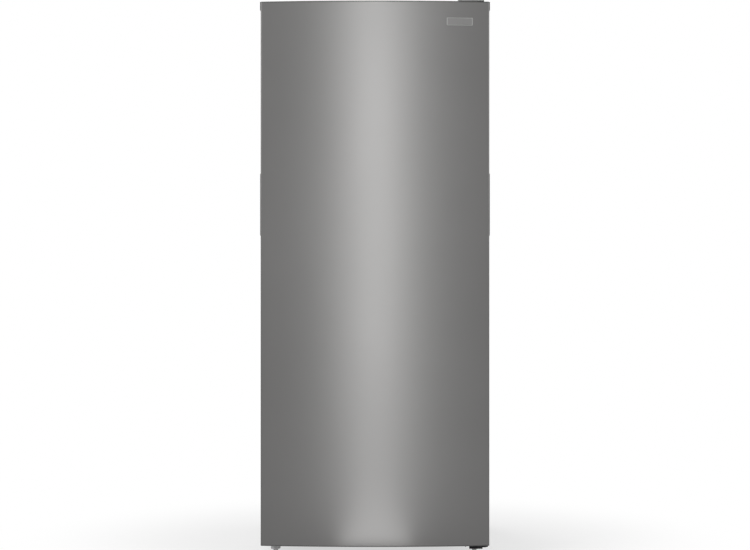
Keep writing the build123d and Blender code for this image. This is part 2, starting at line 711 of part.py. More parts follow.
def defrost_heater():
    """Heating rod under the cooling block, held up by its two bent ends."""
    y = CAVITY_BACK - COIL_DEPTH / 2
    x = COIL_WIDTH / 2 - FIN
    z = COIL_BOTTOM - HEATER_DROP
    return pipe([(-x, y, COIL_BOTTOM), (-x, y, z), (x, y, z), (x, y, COIL_BOTTOM)], HEATER, 6)


def drain_way(grow):
    """The drain's way back through the wall and down into the machine compartment, grown all round."""
    z = TROUGH_Z + DRAIN_BORE / 2 + DRAIN_WALL
    y = CAVITY_BACK + DRAIN_RUN
    points = [(0, CAVITY_BACK - TROUGH_WALL, z), (0, y, z), (0, y, MACHINE_TOP - DRAIN_FREE)]
    return pipe(points, DRAIN_BORE + 2 * grow, 8)


def drain_trough():
    """Tray under the cooling block, with its pipe to the pan over the compressor."""
    x, y = centred(TROUGH_WIDTH / 2), (CAVITY_BACK - TROUGH_DEPTH, CAVITY_BACK)
    tray = block(x, y, (TROUGH_Z, TROUGH_Z + TROUGH_HEIGHT))
    hollow = block((x[0] + TROUGH_WALL, x[1] - TROUGH_WALL), (y[0] + TROUGH_WALL, y[1] - TROUGH_WALL),
                   (TROUGH_Z + TROUGH_WALL, TROUGH_Z + TROUGH_HEIGHT))
    return tray - hollow + drain_way(DRAIN_WALL) - drain_way(0)


def fan_motor():
    """Motor behind the fan, on a bar with two posts that stand on the cavity's back."""
    y = (MOTOR_FRONT, MOTOR_FRONT + MOTOR_LENGTH)
    case = pipe([(0, y[0], GRILLE_CENTRE), (0, y[1], GRILLE_CENTRE)], MOTOR_WIDTH, 8)
    bore = rod((0, y[0], GRILLE_CENTRE), (0, y[0] + SHAFT_LENGTH, GRILLE_CENTRE), FAN_SHAFT_R + SHAFT_FIT)
    z = centred(MOTOR_POST / 2, GRILLE_CENTRE)
    bar = block(centred(MOTOR_SPAN), (y[1] - BAY_WALL, y[1]), z)
    post = block((MOTOR_SPAN - MOTOR_POST, MOTOR_SPAN), (y[1], CAVITY_BACK), z)
    return joined([case, bar] + both_sides(post)) - bore


def fan_blade():
    """Axial fan with pitched blades round its hub, on its shaft."""
    tip = math.sqrt(FAN_R**2 - (BLADE_WIDTH / 2)**2)
    blade = Rot(0, 0, FAN_PITCH) * block(centred(BLADE_WIDTH / 2), centred(BLADE / 2), (FAN_HUB_R / 2, tip))
    hub = pipe([(0, -FAN_HUB_LENGTH / 2, 0), (0, FAN_HUB_LENGTH / 2, 0)], 2 * FAN_HUB_R, 2 * FAN_BLADES)
    shaft_end = FAN_HUB_LENGTH / 2 + MOTOR_GAP + SHAFT_LENGTH - RUNNING_GAP
    shaft = rod((0, FAN_HUB_LENGTH / 2, 0), (0, shaft_end, 0), FAN_SHAFT_R)
    blades = [Rot(0, 360 * i / FAN_BLADES, 0) * blade for i in range(FAN_BLADES)]
    return Pos(0, FAN_Y, GRILLE_CENTRE) * joined([hub, shaft] + blades)


# ---- lamp and control ----
def control_housing():
    """Moulded housing under the ceiling, with the lamp's window and the dial's bearing."""
    y = (CONTROL_START, CONTROL_START + CONTROL_DEPTH)
    outer = block(centred(CONTROL_WIDTH / 2), y, (CONTROL_BOTTOM, CAVITY_TOP))
    outer = chamfer(outer.edges().filter_by(Axis.Z) + outer.faces().sort_by(Axis.Z)[0].edges(), CONTROL_BEVEL)
    inner = block(centred(CONTROL_WIDTH / 2 - CONTROL_WALL), (y[0] + CONTROL_WALL, y[1] - CONTROL_WALL),
                  (CONTROL_BOTTOM + CONTROL_WALL, CAVITY_TOP))
    window = block(centred(LENS_WIDTH / 2, LENS_X), centred(LENS_DEPTH / 2, LENS_Y),
                   centred(CONTROL_WALL * 2, CONTROL_BOTTOM))
    return outer - inner - window - dial_stem(DIAL_FIT)


def dial_centre():
    """Height of the dial's axis."""
    return (CONTROL_BOTTOM + CAVITY_TOP) / 2


def dial_stem(clearance):
    """The dial's stem behind the housing's front face."""
    y, z = (CONTROL_START - RUNNING_GAP, CONTROL_START + DIAL_STEM), dial_centre()
    return rod((DIAL_X, y[0], z), (DIAL_X, y[1], z), DIAL_STEM_R + clearance)


def temperature_dial():
    """Fluted dial with a straight grip across its face."""
    z = dial_centre()
    back = CONTROL_START - RUNNING_GAP
    base = pipe([(DIAL_X, back - DIAL_BASE, z), (DIAL_X, back, z)], DIAL_WIDTH, DIAL_SIDES)
    grip = block(centred(DIAL_GRIP / 2, DIAL_X), (back - DIAL_LENGTH, back - DIAL_BASE),
                 centred(DIAL_WIDTH / 2, z))
    return base + grip + dial_stem(0)


def lamp_lens():
    """Clear window that sits in the housing's floor, with a rim that rests on it."""
    window = block(centred(LENS_WIDTH / 2 - LENS_FIT, LENS_X), centred(LENS_DEPTH / 2 - LENS_FIT, LENS_Y),
                   (CONTROL_BOTTOM, CONTROL_BOTTOM + CONTROL_WALL))
    rim = block(centred(LENS_WIDTH / 2 + LENS_RIM, LENS_X), centred(LENS_DEPTH / 2 + LENS_RIM, LENS_Y),
                (CONTROL_BOTTOM + CONTROL_WALL, CONTROL_BOTTOM + CONTROL_WALL + LENS))
    return window + rim


def led_board():
    """Small board with its lights, hung on two posts from the ceiling."""
    low = CAVITY_TOP - CONTROL_HEIGHT / 2
    board = block(centred(BOARD_WIDTH / 2, LENS_X), centred(BOARD_DEPTH / 2, LENS_Y), (low, low + BOARD))
    lights = [block(centred(LED_SIZE / 2, x), centred(LED_SIZE / 2, LENS_Y), (low - LED_HEIGHT, low))
              for x in spread(LED_COUNT, BOARD_WIDTH / 2 - 2 * LED_SIZE, LENS_X)]
    posts = [block(centred(LED_SIZE / 2, x), centred(LED_SIZE / 2, LENS_Y), (low + BOARD, CAVITY_TOP))
             for x in spread(2, BOARD_WIDTH / 2 - LED_SIZE, LENS_X)]
    return joined([board] + lights + posts)


# ---- shelves and basket ----
def wire_shelf(level):
    """Welded shelf: wires from front to back on three cross rods."""
    half = CAVITY_HALF - SHELF_SIDE_GAP
    wire_z, rod_z = level - WIRE / 2, level - WIRE - ROD / 2
    reach = SHELF_DEPTH / 2 - ROD / 2
    rods = [hex_bar((-half, y, rod_z), (half, y, rod_z), ROD, (0, 1, 0))
            for y in spread(3, reach, SHELF_START + SHELF_DEPTH / 2)]
    wires = [hex_bar((x, SHELF_START, wire_z), (x, SHELF_START + SHELF_DEPTH, wire_z), WIRE, (1, 0, 0))
             for x in spread(SHELF_WIRE_COUNT, half - SHELF_WIRE_INSET)]
    return joined(rods + wires)


def basket_form(inset, floor):
    """The basket's tapered body, moved inwards by its wall and up by its floor."""
    middle = (BASKET_START + BASKET_END) / 2
    mouth = Rectangle(2 * (BASKET_HALF - inset), BASKET_DEPTH - 2 * inset)
    return extrude(Pos(0, middle, BASKET_TOP) * mouth, amount=-(BASKET_HEIGHT - floor), taper=BASKET_TAPER)


def basket():
    """Slide-out basket with slots in its walls and floor and a rim that runs in the side rails."""
    rim_y = (BASKET_START - BASKET_RIM_END, BASKET_END + BASKET_RIM_END)
    rim = block(centred(CAVITY_HALF - BASKET_RIM_GAP), rim_y, (BASKET_TOP - BASKET_RIM, BASKET_TOP))
    rim = chamfer(rim.edges().filter_by(Axis.Z), BASKET_RIM_END)
    z = (BASKET_FLOOR + BASKET_SLOT_MARGIN, BASKET_TOP - BASKET_SLOT_MARGIN)
    y = (BASKET_START - BASKET_SLOT, BASKET_END + BASKET_SLOT)
    middle = (BASKET_START + BASKET_END) / 2
    reach = BASKET_HALF - BASKET_SLOT_INSET
    side_reach = BASKET_DEPTH / 2 - BASKET_SLOT_INSET
    slots = [block(centred(BASKET_SLOT / 2, x), y, z) for x in spread(BASKET_FRONT_SLOTS, reach)]
    slots += [block(centred(CAVITY_HALF), centred(BASKET_SLOT / 2, place), z)
              for place in spread(BASKET_SIDE_SLOTS, side_reach, middle)]
    floor_z = centred(2 * BASKET_FLOOR_WALL, BASKET_FLOOR)
    slots += [block(centred(BASKET_SLOT / 2, x), centred(side_reach, middle), floor_z)
              for x in spread(BASKET_FLOOR_SLOTS, reach)]
    return basket_form(0, 0) + rim - basket_form(BASKET_WALL, BASKET_FLOOR_WALL) - slots


def basket_handle():
    """Moulded pull that clips over the middle of the basket's front rim."""
    front = BASKET_START - BASKET_RIM_END
    outer = block(centred(HANDLE_WIDTH / 2), (front - HANDLE_REACH, front),
                  (BASKET_TOP - HANDLE_HEIGHT, BASKET_TOP))
    outer = chamfer(outer.faces().sort_by(Axis.Y)[0].edges(), HANDLE_BEVEL)
    hollow = block(centred(HANDLE_WIDTH / 2 - HANDLE_WALL), (front - HANDLE_REACH + HANDLE_WALL, front),
                   (BASKET_TOP - HANDLE_HEIGHT, BASKET_TOP - HANDLE_WALL))
    clip = block(centred(HANDLE_WIDTH / 2), (front - HANDLE_WALL, front + BASKET_RIM_END / 2),
                 (BASKET_TOP, BASKET_TOP + HANDLE_WALL))
    return outer - hollow + clip


def basket_rails():
    """Channel on each side wall that carries the basket's rim."""
    y = (BASKET_START - RAIL_OVERHANG, BASKET_END)
    x = (CAVITY_HALF - RAIL_WALL - RAIL_SHELF, CAVITY_HALF)
    z = (BASKET_TOP - BASKET_RIM - RUNNING_GAP, BASKET_TOP + RUNNING_GAP)
    channel = block(x, y, (z[0] - RAIL_WALL, z[1] + RAIL_WALL))
    return both_sides(channel - block((x[0], x[1] - RAIL_WALL), y, z))


# ---- machine compartment ----
def base_pan():
    """Steel floor of the machine compartment, with its front edge turned up against the panel."""
    half = MACHINE_HALF
    floor = block(centred(half), (MACHINE_FRONT, REAR_COVER_INSIDE), (BASE_HEIGHT, BASE_HEIGHT + BASE_PAN))
    lip = block(centred(half), (MACHINE_FRONT, MACHINE_FRONT + BASE_PAN),
                (BASE_HEIGHT + BASE_PAN, BASE_HEIGHT + BASE_PAN + BASE_PAN_FLANGE))
    return floor + lip


def compressor():
    """Hermetic compressor: a domed pot with its welded seam, on a foot strap."""
    middle = (COMPRESSOR_BOTTOM + COMPRESSOR_TOP) / 2

    def pot_slab(grow, z):
        slab = block(centred(COMPRESSOR_LENGTH / 2 + grow, COMPRESSOR_X),
                     centred(COMPRESSOR_WIDTH / 2 + grow, COMPRESSOR_Y), z)
        return chamfer(slab.edges().filter_by(Axis.Z), inner_bevel(COMPRESSOR_CORNER, -grow))

    pot = pot_slab(0, (COMPRESSOR_BOTTOM, COMPRESSOR_TOP))
    rims = pot.faces().sort_by(Axis.Z)[0].edges() + pot.faces().sort_by(Axis.Z)[-1].edges()
    seam = pot_slab(COMPRESSOR_SEAM, centred(COMPRESSOR_SEAM / 2, middle))
    strap = block(centred(STRAP_LENGTH / 2, COMPRESSOR_X), centred(STRAP_WIDTH / 2, COMPRESSOR_Y),
                  (STRAP_BOTTOM, COMPRESSOR_BOTTOM))
    return chamfer(rims, COMPRESSOR_DOME) + seam + strap


def compressor_mounts():
    """Four rubber mounts between the strap and the pan."""
    return [faceted(x, y, (BASE_HEIGHT + BASE_PAN, STRAP_BOTTOM), MOUNT_WIDTH, 8)
            for x in spread(2, STRAP_LENGTH / 2 - MOUNT_INSET, COMPRESSOR_X)
            for y in spread(2, STRAP_WIDTH / 2 - MOUNT_INSET, COMPRESSOR_Y)]


def relay_box():
    """Starting relay and overload cover on the compressor's left end."""
    side = COMPRESSOR_X - COMPRESSOR_LENGTH / 2 - COMPRESSOR_SEAM
    z = (COMPRESSOR_BOTTOM + COMPRESSOR_TOP) / 2
    return block((side - RELAY_WIDTH, side), centred(RELAY_DEPTH / 2, COMPRESSOR_Y),
                 centred(RELAY_HEIGHT / 2, z))


def drain_pan():
    """Tray on the compressor, where the defrost water dries off."""
    bottom = COMPRESSOR_TOP

    def tray(inset):
        outline = Rectangle(PAN_WIDTH - 2 * inset, PAN_DEPTH - 2 * inset)
        top = Pos(COMPRESSOR_X, COMPRESSOR_Y, bottom + PAN_HEIGHT) * outline
        return extrude(top, amount=-(PAN_HEIGHT - inset), taper=PAN_TAPER)

    return tray(0) - tray(PAN_WALL)


def rear_cover():
    """Steel cover over the machine compartment, with rows of air slots."""
    y = (REAR_COVER_INSIDE, REAR_COVER_OUTSIDE)
    sheet = block(centred(MACHINE_HALF), y, (BASE_HEIGHT, MACHINE_TOP))
    middle = (BASE_HEIGHT + MACHINE_TOP) / 2
    slots = [block(centred(LOUVRE_WIDTH / 2, x), y, centred(LOUVRE_HEIGHT / 2, z))
             for x in spread(LOUVRE_COLUMNS, LOUVRE_SPAN_X)
             for z in spread(LOUVRE_ROWS, LOUVRE_SPAN_Z / 2, middle)]
    return sheet - slots - block(centred(GLAND_WIDTH / 2, GLAND_X), y, centred(GLAND_WIDTH / 2, middle))


def cord_gland():
    """Bush in the rear cover where the supply cord comes out."""
    z = (BASE_HEIGHT + MACHINE_TOP) / 2
    y = (REAR_COVER_INSIDE - GLAND_LENGTH, REAR_COVER_OUTSIDE)
    neck = block(centred(GLAND_WIDTH / 2, GLAND_X), y, centred(GLAND_WIDTH / 2, z))
    half = GLAND_WIDTH / 2 + GLAND_FLANGE
    collar = block(centred(half, GLAND_X), (REAR_COVER_INSIDE - GLAND_FLANGE, REAR_COVER_INSIDE),
                   centred(half, z))
    return neck + collar - pipe([(GLAND_X, y[0], z), (GLAND_X, y[1], z)], GLAND_BORE, 12)


# ---- feet and rollers ----
def front_foot(x):
    """Levelling foot: pad, hexagonal hand collar and thread."""
    pad = faceted(x, FOOT_Y, (0, FOOT_PAD_HEIGHT), 2 * FOOT_PAD_R, 12)
    collar = faceted(x, FOOT_Y, (FOOT_PAD_HEIGHT, BRACKET_BOTTOM - RUNNING_GAP), 2 * FOOT_COLLAR_R, 6)
    stem = faceted(x, FOOT_Y, (BRACKET_BOTTOM - RUNNING_GAP, FOOT_TOP), 2 * FOOT_STEM_R, 12)
    return pad + collar + stem


def foot_bracket():
    """Plate over the left foot, with a tab bent down behind it."""
    x = (-BRACKET_RIGHT, -BRACKET_LEFT)
    plate = block(x, (BRACKET_FRONT, BRACKET_FRONT + BRACKET_DEPTH), (BRACKET_BOTTOM, BASE_HEIGHT))
    back = BRACKET_FRONT + BRACKET_DEPTH
    tab = block((x[1] - SUPPORT_TAB_WIDTH, x[1]), (back - BRACKET_PLATE, back),
                (BRACKET_BOTTOM - SUPPORT_TAB, BRACKET_BOTTOM))
    return plate + tab - foot_holes()


def roller_bracket():
    """Two ears under the base pan with the right rear roller's axle riveted between them."""
    inner = ROLLER_WIDTH / 2 + EAR_GAP
    y = centred(EAR_HALF_LENGTH, ROLLER_Y)
    plate = block(centred(inner + EAR_PLATE, ROLLER_X), y, (BASE_HEIGHT - EAR_PLATE, BASE_HEIGHT))
    ear = block((inner, inner + EAR_PLATE), y, (ROLLER_R - AXLE_R - EAR_RIM, BASE_HEIGHT - EAR_PLATE))
    low = ear.edges().filter_by(Axis.X).group_by(Axis.Z)[0]
    ears = [Pos(ROLLER_X, 0, 0) * side for side in both_sides(chamfer(low, EAR_RIM))]
    axle = rod((ROLLER_X - inner, ROLLER_Y, ROLLER_R), (ROLLER_X + inner, ROLLER_Y, ROLLER_R), AXLE_R)
    return joined([plate] + ears + [axle])


def roller(x):
    """Plain wheel with a bore for the axle."""
    half = ROLLER_WIDTH / 2
    wheel = rod((-half, 0, 0), (half, 0, 0), ROLLER_R)
    return Pos(x, ROLLER_Y, ROLLER_R) * (wheel - rod((-half, 0, 0), (half, 0, 0), AXLE_R + AXLE_FIT))


# ---- hinges ----
def top_hinge_bracket():
    """Flat hinge plate on the cabinet's top, with a tongue that reaches over the door."""
    z = (CABINET_TOP, CABINET_TOP + HINGE_PLATE)
    right = PIN_X + HINGE_TONGUE_R
    plate = block((right - HINGE_LEAF_WIDTH, right), (CABINET_FRONT, CABINET_FRONT + HINGE_LEAF_LENGTH), z)
    plate = chamfer(plate.edges().filter_by(Axis.Z), HINGE_TONGUE_R)
    y = (PIN_Y - HINGE_TONGUE_R, CABINET_FRONT + HINGE_LEAF_LENGTH / 2)
    tongue = block((PIN_X - HINGE_TONGUE_R, right), y, z)
    tongue = chamfer(tongue.edges().filter_by(Axis.Z).group_by(Axis.Y)[0], HINGE_TONGUE_R / 2)
    return plate + tongue - disc(PIN_X, PIN_Y, z, PIN_R)


def hinge_pins():
    """A pin that hangs by its head in the top plate, and one that stands in the lower tongue."""
    seat = CABINET_TOP + HINGE_PLATE
    high = faceted(PIN_X, PIN_Y, (seat, seat + PIN_HEAD), PIN_HEAD_WIDTH, 6)
    high += disc(PIN_X, PIN_Y, (DOOR_TOP - PIN_ENGAGEMENT, seat), PIN_R)
    low_seat = LOWER_TONGUE_TOP - BRACKET_PLATE
    low = faceted(PIN_X, PIN_Y, (low_seat - PIN_HEAD, low_seat), PIN_HEAD_WIDTH, 6)
    low += disc(PIN_X, PIN_Y, (low_seat, DOOR_BOTTOM + PIN_ENGAGEMENT), PIN_R)
    return [high, low]


def top_hinge_cover():
    """Moulded cover over the top hinge, open underneath."""
    right = HALF_WIDTH - COVER_SIDE_INSET
    x, y = (right - COVER_WIDTH, right), (PIN_Y - COVER_FRONT, PIN_Y - COVER_FRONT + COVER_LENGTH)
    outer = block(x, y, (CABINET_TOP, CABINET_TOP + COVER_RISE))
    outer = chamfer(outer.edges().filter_by(Axis.Z) + outer.faces().sort_by(Axis.Z)[-1].edges(), COVER_BEVEL)
    inner = block((x[0] + COVER_WALL, x[1] - COVER_WALL), (y[0] + COVER_WALL, y[1] - COVER_WALL),
                  (CABINET_TOP, CABINET_TOP + COVER_RISE - COVER_WALL))
    return outer - inner


def bottom_hinge_bracket():
    """Bent steel bracket under the cabinet's right front corner, with a tongue under the door."""
    x = (BRACKET_LEFT, BRACKET_RIGHT)
    leaf = block(x, (BRACKET_FRONT, BRACKET_FRONT + BRACKET_DEPTH), (BRACKET_BOTTOM, BASE_HEIGHT))
    skirt = block(x, (BRACKET_FRONT, BRACKET_FRONT + BRACKET_PLATE), (BRACKET_SKIRT_BOTTOM, BRACKET_BOTTOM))
    z = (LOWER_TONGUE_TOP - BRACKET_PLATE, LOWER_TONGUE_TOP)
    tongue = block(centred(LOWER_TONGUE_HALF, PIN_X), (PIN_Y - LOWER_TONGUE_NOSE, BRACKET_FRONT), z)
    tongue = chamfer(tongue.edges().filter_by(Axis.Z).group_by(Axis.Y)[0], HINGE_TONGUE_R)
    return joined([leaf, skirt, tongue]) - disc(PIN_X, PIN_Y, z, PIN_R) - foot_holes()


def hinge_bushes():
    """Collared bushes in both ends of the door, for the two pins."""
    low = faceted(PIN_X, PIN_Y, (DOOR_BOTTOM, DOOR_BOTTOM + BUSH_LENGTH), BUSH_WIDTH, 6)
    low += faceted(PIN_X, PIN_Y, (DOOR_BOTTOM - BUSH_COLLAR, DOOR_BOTTOM), BUSH_COLLAR_WIDTH, 6)
    low -= disc(PIN_X, PIN_Y, (DOOR_BOTTOM - BUSH_COLLAR, DOOR_BOTTOM + BUSH_LENGTH), PIN_R + PIN_FIT)
    return [low, mirror(low, about=Plane.XY.offset(DOOR_MIDDLE))]


# ---- door ----
def bow_y(x, inset=0.0):
    """Y of the door's bowed face at x, moved back by the inset."""
    return DOOR_FRONT + BOW_R - math.sqrt((BOW_R - inset)**2 - x**2)


def door_slab(inset, z):
    """The door's plan, moved inwards at its sides and bowed face, as a solid over the (low, high) pair."""
    half = HALF_WIDTH - inset
    corners = [(-half, bow_y(half, inset)), (half, bow_y(half, inset))]
    arc = ThreePointArc(corners[0], (0, bow_y(0, inset)), corners[1])
    sides = Polyline(corners[1], (half, DOOR_BACK), (-half, DOOR_BACK), corners[0])
    plan = make_face(arc + sides)
    plan = fillet(plan.vertices().sort_by(Axis.Y)[:2], DOOR_CORNER_R - inset)
    return Pos(0, 0, z[0]) * extrude(plan, amount=z[1] - z[0])


def door_body_z():
    """The steel's and foam's height, between the two caps."""
    return (DOOR_BOTTOM + CAP_PLATE, DOOR_TOP - CAP_PLATE)


def hems():
    """The steel folded behind the door's two side edges."""
    x, y = (HALF_WIDTH - DOOR_HEM, HALF_WIDTH - DOOR_SKIN), (DOOR_BACK - DOOR_SKIN, DOOR_BACK)
    return both_sides(block(x, y, door_body_z()))


def door_skin():
    """Bowed steel face with its sides and hems, cut out for the two grips."""
    sheet = door_slab(0, door_body_z()) - door_slab(DOOR_SKIN, door_body_z())
    return joined([sheet] + hems()) - both_sides(grip_form(GRIP_RIM))


def inner_form(depth):
    """What lies in front of the door's inner face, moved forward by the depth: slab, dykes and recess."""
    slab = door_slab(DOOR_SKIN, door_body_z()) & block(
        centred(HALF_WIDTH), (DOOR_FRONT, DOOR_BACK - depth), (DOOR_BOTTOM, DOOR_TOP))
    plan = bevelled(2 * (DYKE_HALF - depth), DYKE_LENGTH - 2 * depth, inner_bevel(DYKE_CORNER, depth))
    dyke = extrude(back_plane(DOOR_BACK - depth) * plan, amount=DYKE_HEIGHT, taper=DYKE_TAPER)
    form = slab + dyke - recess(depth)
    tip = form.faces().sort_by(Axis.Y)[-1]
    return chamfer(tip.edges(), inner_bevel(DYKE_TIP_BEVEL, depth))


def back_plane(y):
    """Upright plane that faces the cabinet at y, with its origin at the door's mid-height."""
    return Plane(origin=(0, y, DOOR_MIDDLE), x_dir=(1, 0, 0), z_dir=(0, 1, 0))


def recess(grow):
    """The room between the dykes, which widens towards the cabinet."""
    length = DYKE_LENGTH - 2 * DYKE_THICKNESS + 2 * grow
    plan = bevelled(2 * (RECESS_HALF + grow), length, inner_bevel(RECESS_CORNER, -grow))
    return extrude(back_plane(DOOR_BACK - grow) * plan, amount=DYKE_HEIGHT + grow, taper=-DYKE_TAPER)


def bin_lugs(level, clearance, x):
    """Block of one bin lug's outline, grown by the clearance and open downwards with it."""
    rise = level + LUG_RISE
    low = rise if clearance == 0 else rise - LUG_HEIGHT
    return block(x, centred(LUG_WIDTH / 2 + clearance, LUG_Y), (low, rise + LUG_HEIGHT + clearance))


def door_liner():
    """White thermoformed inner face of the door, with its dykes and the lugs for the bins."""
    room = recess(LINER / 2)
    lugs = []
    for level in BIN_LEVELS:
        lugs += both_sides(bin_lugs(level, 0, (RECESS_HALF - LUG_REACH, DYKE_HALF)) & room)
    skin = inner_form(0) - inner_form(LINER) - hems()
    return joined([skin] + lugs)


def door_foam():
    """Foamed core of the door."""
    foam = inner_form(LINER) - hems() - both_sides(grip_form(GRIP_RIM))
    return foam - cap_inside(DOOR_BOTTOM, 1) - cap_inside(DOOR_TOP, -1)


def inward_pair(end, inward, near, far):
    """The (low, high) pair between two distances from the door's end; inward is 1 or -1."""
    return tuple(sorted((end + inward * near, end + inward * far)))


def cap_inside(end, inward):
    """A cap's side ribs and the hinge bosses of both sides, which lie inside the door's skin."""
    outside = HALF_WIDTH - DOOR_SKIN - CAP_FIT
    rib = block((outside - CAP_WALL, outside), (DOOR_EDGE + CAP_SKIRT_SETBACK, DOOR_BACK - LINER),
                inward_pair(end, inward, CAP_PLATE, CAP_PLATE + CAP_RIB))
    boss_z = inward_pair(end, inward, CAP_PLATE, BUSH_LENGTH + BOSS_WALL)
    boss = faceted(PIN_X, PIN_Y, boss_z, BUSH_WIDTH + 2 * BOSS_WALL, 6)
    return both_sides(rib) + both_sides(boss)


def door_cap(end, inward):
    """Moulded cap that closes one end of the door, with the bush's bore on the hinge side."""
    plate = door_slab(0, inward_pair(end, inward, 0, CAP_PLATE))
    bore = faceted(PIN_X, PIN_Y, inward_pair(end, inward, 0, BUSH_LENGTH), BUSH_WIDTH, 6)
    return joined([plate] + cap_inside(end, inward)) - bore


def door_top_cap():
    """Top cap, with skirts that stand a little proud of the door's sides."""
    z = (DOOR_TOP - CAP_SKIRT, DOOR_TOP)
    y = (DOOR_EDGE + CAP_SKIRT_SETBACK, DOOR_BACK - CAP_SKIRT_SETBACK)
    skirt = block((HALF_WIDTH, HALF_WIDTH + CAP_PROUD), y, z)
    skirt = chamfer(skirt.edges().filter_by(Axis.Z).group_by(Axis.X)[-1], CAP_PROUD / 2)
    return joined([door_cap(DOOR_TOP, -1)] + both_sides(skirt))


def door_bottom_cap():
    """Bottom cap, with the small lug of the door stop."""
    lug = block(centred(CAP_PLATE / 2, STOP_LUG_X), centred(STOP_LUG_LENGTH / 2, PIN_Y),
                (DOOR_BOTTOM - STOP_LUG, DOOR_BOTTOM))
    return door_cap(DOOR_BOTTOM, 1) + lug


def grip_form(inset):
    """The right grip's outline as a block from outside the door to the cup's bottom."""
    length = GRIP_Y[1] - GRIP_Y[0]
    plan = bevelled(length - 2 * inset, GRIP_HEIGHT - 2 * inset, inner_bevel(GRIP_CORNER, inset))
    middle = (HALF_WIDTH - GRIP_DEPTH, sum(GRIP_Y) / 2, GRIP_BOTTOM + GRIP_HEIGHT / 2)
    plane = Plane(origin=middle, x_dir=(0, 1, 0), z_dir=(1, 0, 0))
    return extrude(plane * plan, amount=GRIP_DEPTH + GRIP_PROUD)


def side_grip():
    """Moulded finger cup in the door's right side, with a raised rim."""
    outside = block((HALF_WIDTH, HALF_WIDTH + GRIP_PROUD), centred(OVERALL_DEPTH / 2), (0, DOOR_TOP))
    rim = grip_form(0) & outside
    rim = chamfer(rim.faces().sort_by(Axis.X)[-1].edges(), GRIP_BEVEL)
    inside = block((HALF_WIDTH - GRIP_DEPTH + GRIP_WALL, HALF_WIDTH + GRIP_PROUD), centred(OVERALL_DEPTH / 2),
                   (0, DOOR_TOP))
    pocket = grip_form(GRIP_RIM + GRIP_WALL) & inside
    return rim + grip_form(GRIP_RIM) - pocket


def badge_plate():
    """Bare plate that lies against the bowed face, with a raised rim."""
    lean = PLATE_X / BOW_R
    level = math.sqrt(1 - lean**2)
    middle = (PLATE_X, bow_y(PLATE_X), PLATE_Z)
    seat = Plane(origin=middle, x_dir=(level, lean, 0), z_dir=(lean, -level, 0))
    plate = extrude(seat * bevelled(PLATE_WIDTH, PLATE_HEIGHT, PLATE_CORNER), amount=PLATE_THICKNESS)
    field = Rectangle(PLATE_WIDTH - 2 * PLATE_RIM, PLATE_HEIGHT - 2 * PLATE_RIM)
    return plate - extrude(seat.offset(PLATE_THICKNESS - PLATE_FIELD) * field, amount=PLATE_FIELD)


def door_gasket():
    """Magnetic gasket: base strip, two bellows walls and a hollow head."""
    base_back = DOOR_BACK + GASKET_BASE
    tip = CABINET_FRONT - RUNNING_GAP
    head = tip - GASKET_HEAD

    def gasket_ring(inset, width, y):
        z = (GASKET_Z[0] + inset, GASKET_Z[1] - inset)
        return upright_ring(GASKET_HALF - inset, z, y, width)

    far = GASKET_WIDTH - GASKET_HEAD_INSET - GASKET_WALL
    rings = [gasket_ring(0, GASKET_WIDTH, (DOOR_BACK, base_back)),
             gasket_ring(GASKET_HEAD_INSET, GASKET_WALL, (base_back, head)),
             gasket_ring(far, GASKET_WALL, (base_back, head)),
             gasket_ring(GASKET_HEAD_INSET, GASKET_WIDTH - 2 * GASKET_HEAD_INSET, (head, tip))]
    inset = GASKET_HEAD_INSET + GASKET_WALL
    chamber = gasket_ring(inset, GASKET_WIDTH - 2 * inset, (head + GASKET_WALL, head + GASKET_WALL + MAGNET))
    return joined(rings) - chamber


def gasket_magnets():
    """Flexible magnet strips inside the gasket's head, one along each side of the door."""
    start = CABINET_FRONT - RUNNING_GAP - GASKET_HEAD + GASKET_WALL
    y = (start, start + MAGNET)
    inset = GASKET_HEAD_INSET + GASKET_WALL
    outer, inner = inset + MAGNET_FIT, GASKET_WIDTH - inset - MAGNET_FIT
    upright = block((GASKET_HALF - inner, GASKET_HALF - outer), y, (GASKET_Z[0] + inner, GASKET_Z[1] - inner))
    level = [block(centred(GASKET_HALF - outer), y, (GASKET_Z[0] + outer, GASKET_Z[0] + inner - MAGNET_FIT)),
             block(centred(GASKET_HALF - outer), y, (GASKET_Z[1] - inner + MAGNET_FIT, GASKET_Z[1] - outer))]
    return both_sides(upright) + level


# ---- door bins ----
def bin_form(level, inset):
    """The bin's body moved inwards by its wall, with a leaning front and bevelled front corners."""
    z, top = level + inset, level + BIN_HEIGHT + inset
    y = (BIN_START + inset, BIN_TIP - inset)
    side = [(y[0], z), (y[1] - BIN_LEAN, z), (y[1], top), (y[0], top)]
    half = BIN_HALF - inset
    body = across_prism(side, half)
    corners = body.faces().sort_by(Axis.Y)[-1].edges().filter_by(lambda edge: abs(edge.center().X) > half / 2)
    return chamfer(corners, inner_bevel(BIN_CORNER, inset))


def bin_shoulder(level):
    """What is cut off over the bin's back and the rear half of its sides."""
    points = [(BIN_START - BIN_WALL, level + BIN_BACK_HEIGHT), (LUG_Y + LUG_WIDTH, level + BIN_BACK_HEIGHT),
              (BIN_TIP - BIN_CORNER, level + BIN_HEIGHT), (BIN_TIP - BIN_CORNER, level + 2 * BIN_HEIGHT),
              (BIN_START - BIN_WALL, level + 2 * BIN_HEIGHT)]
    return across_prism(points, DYKE_HALF)


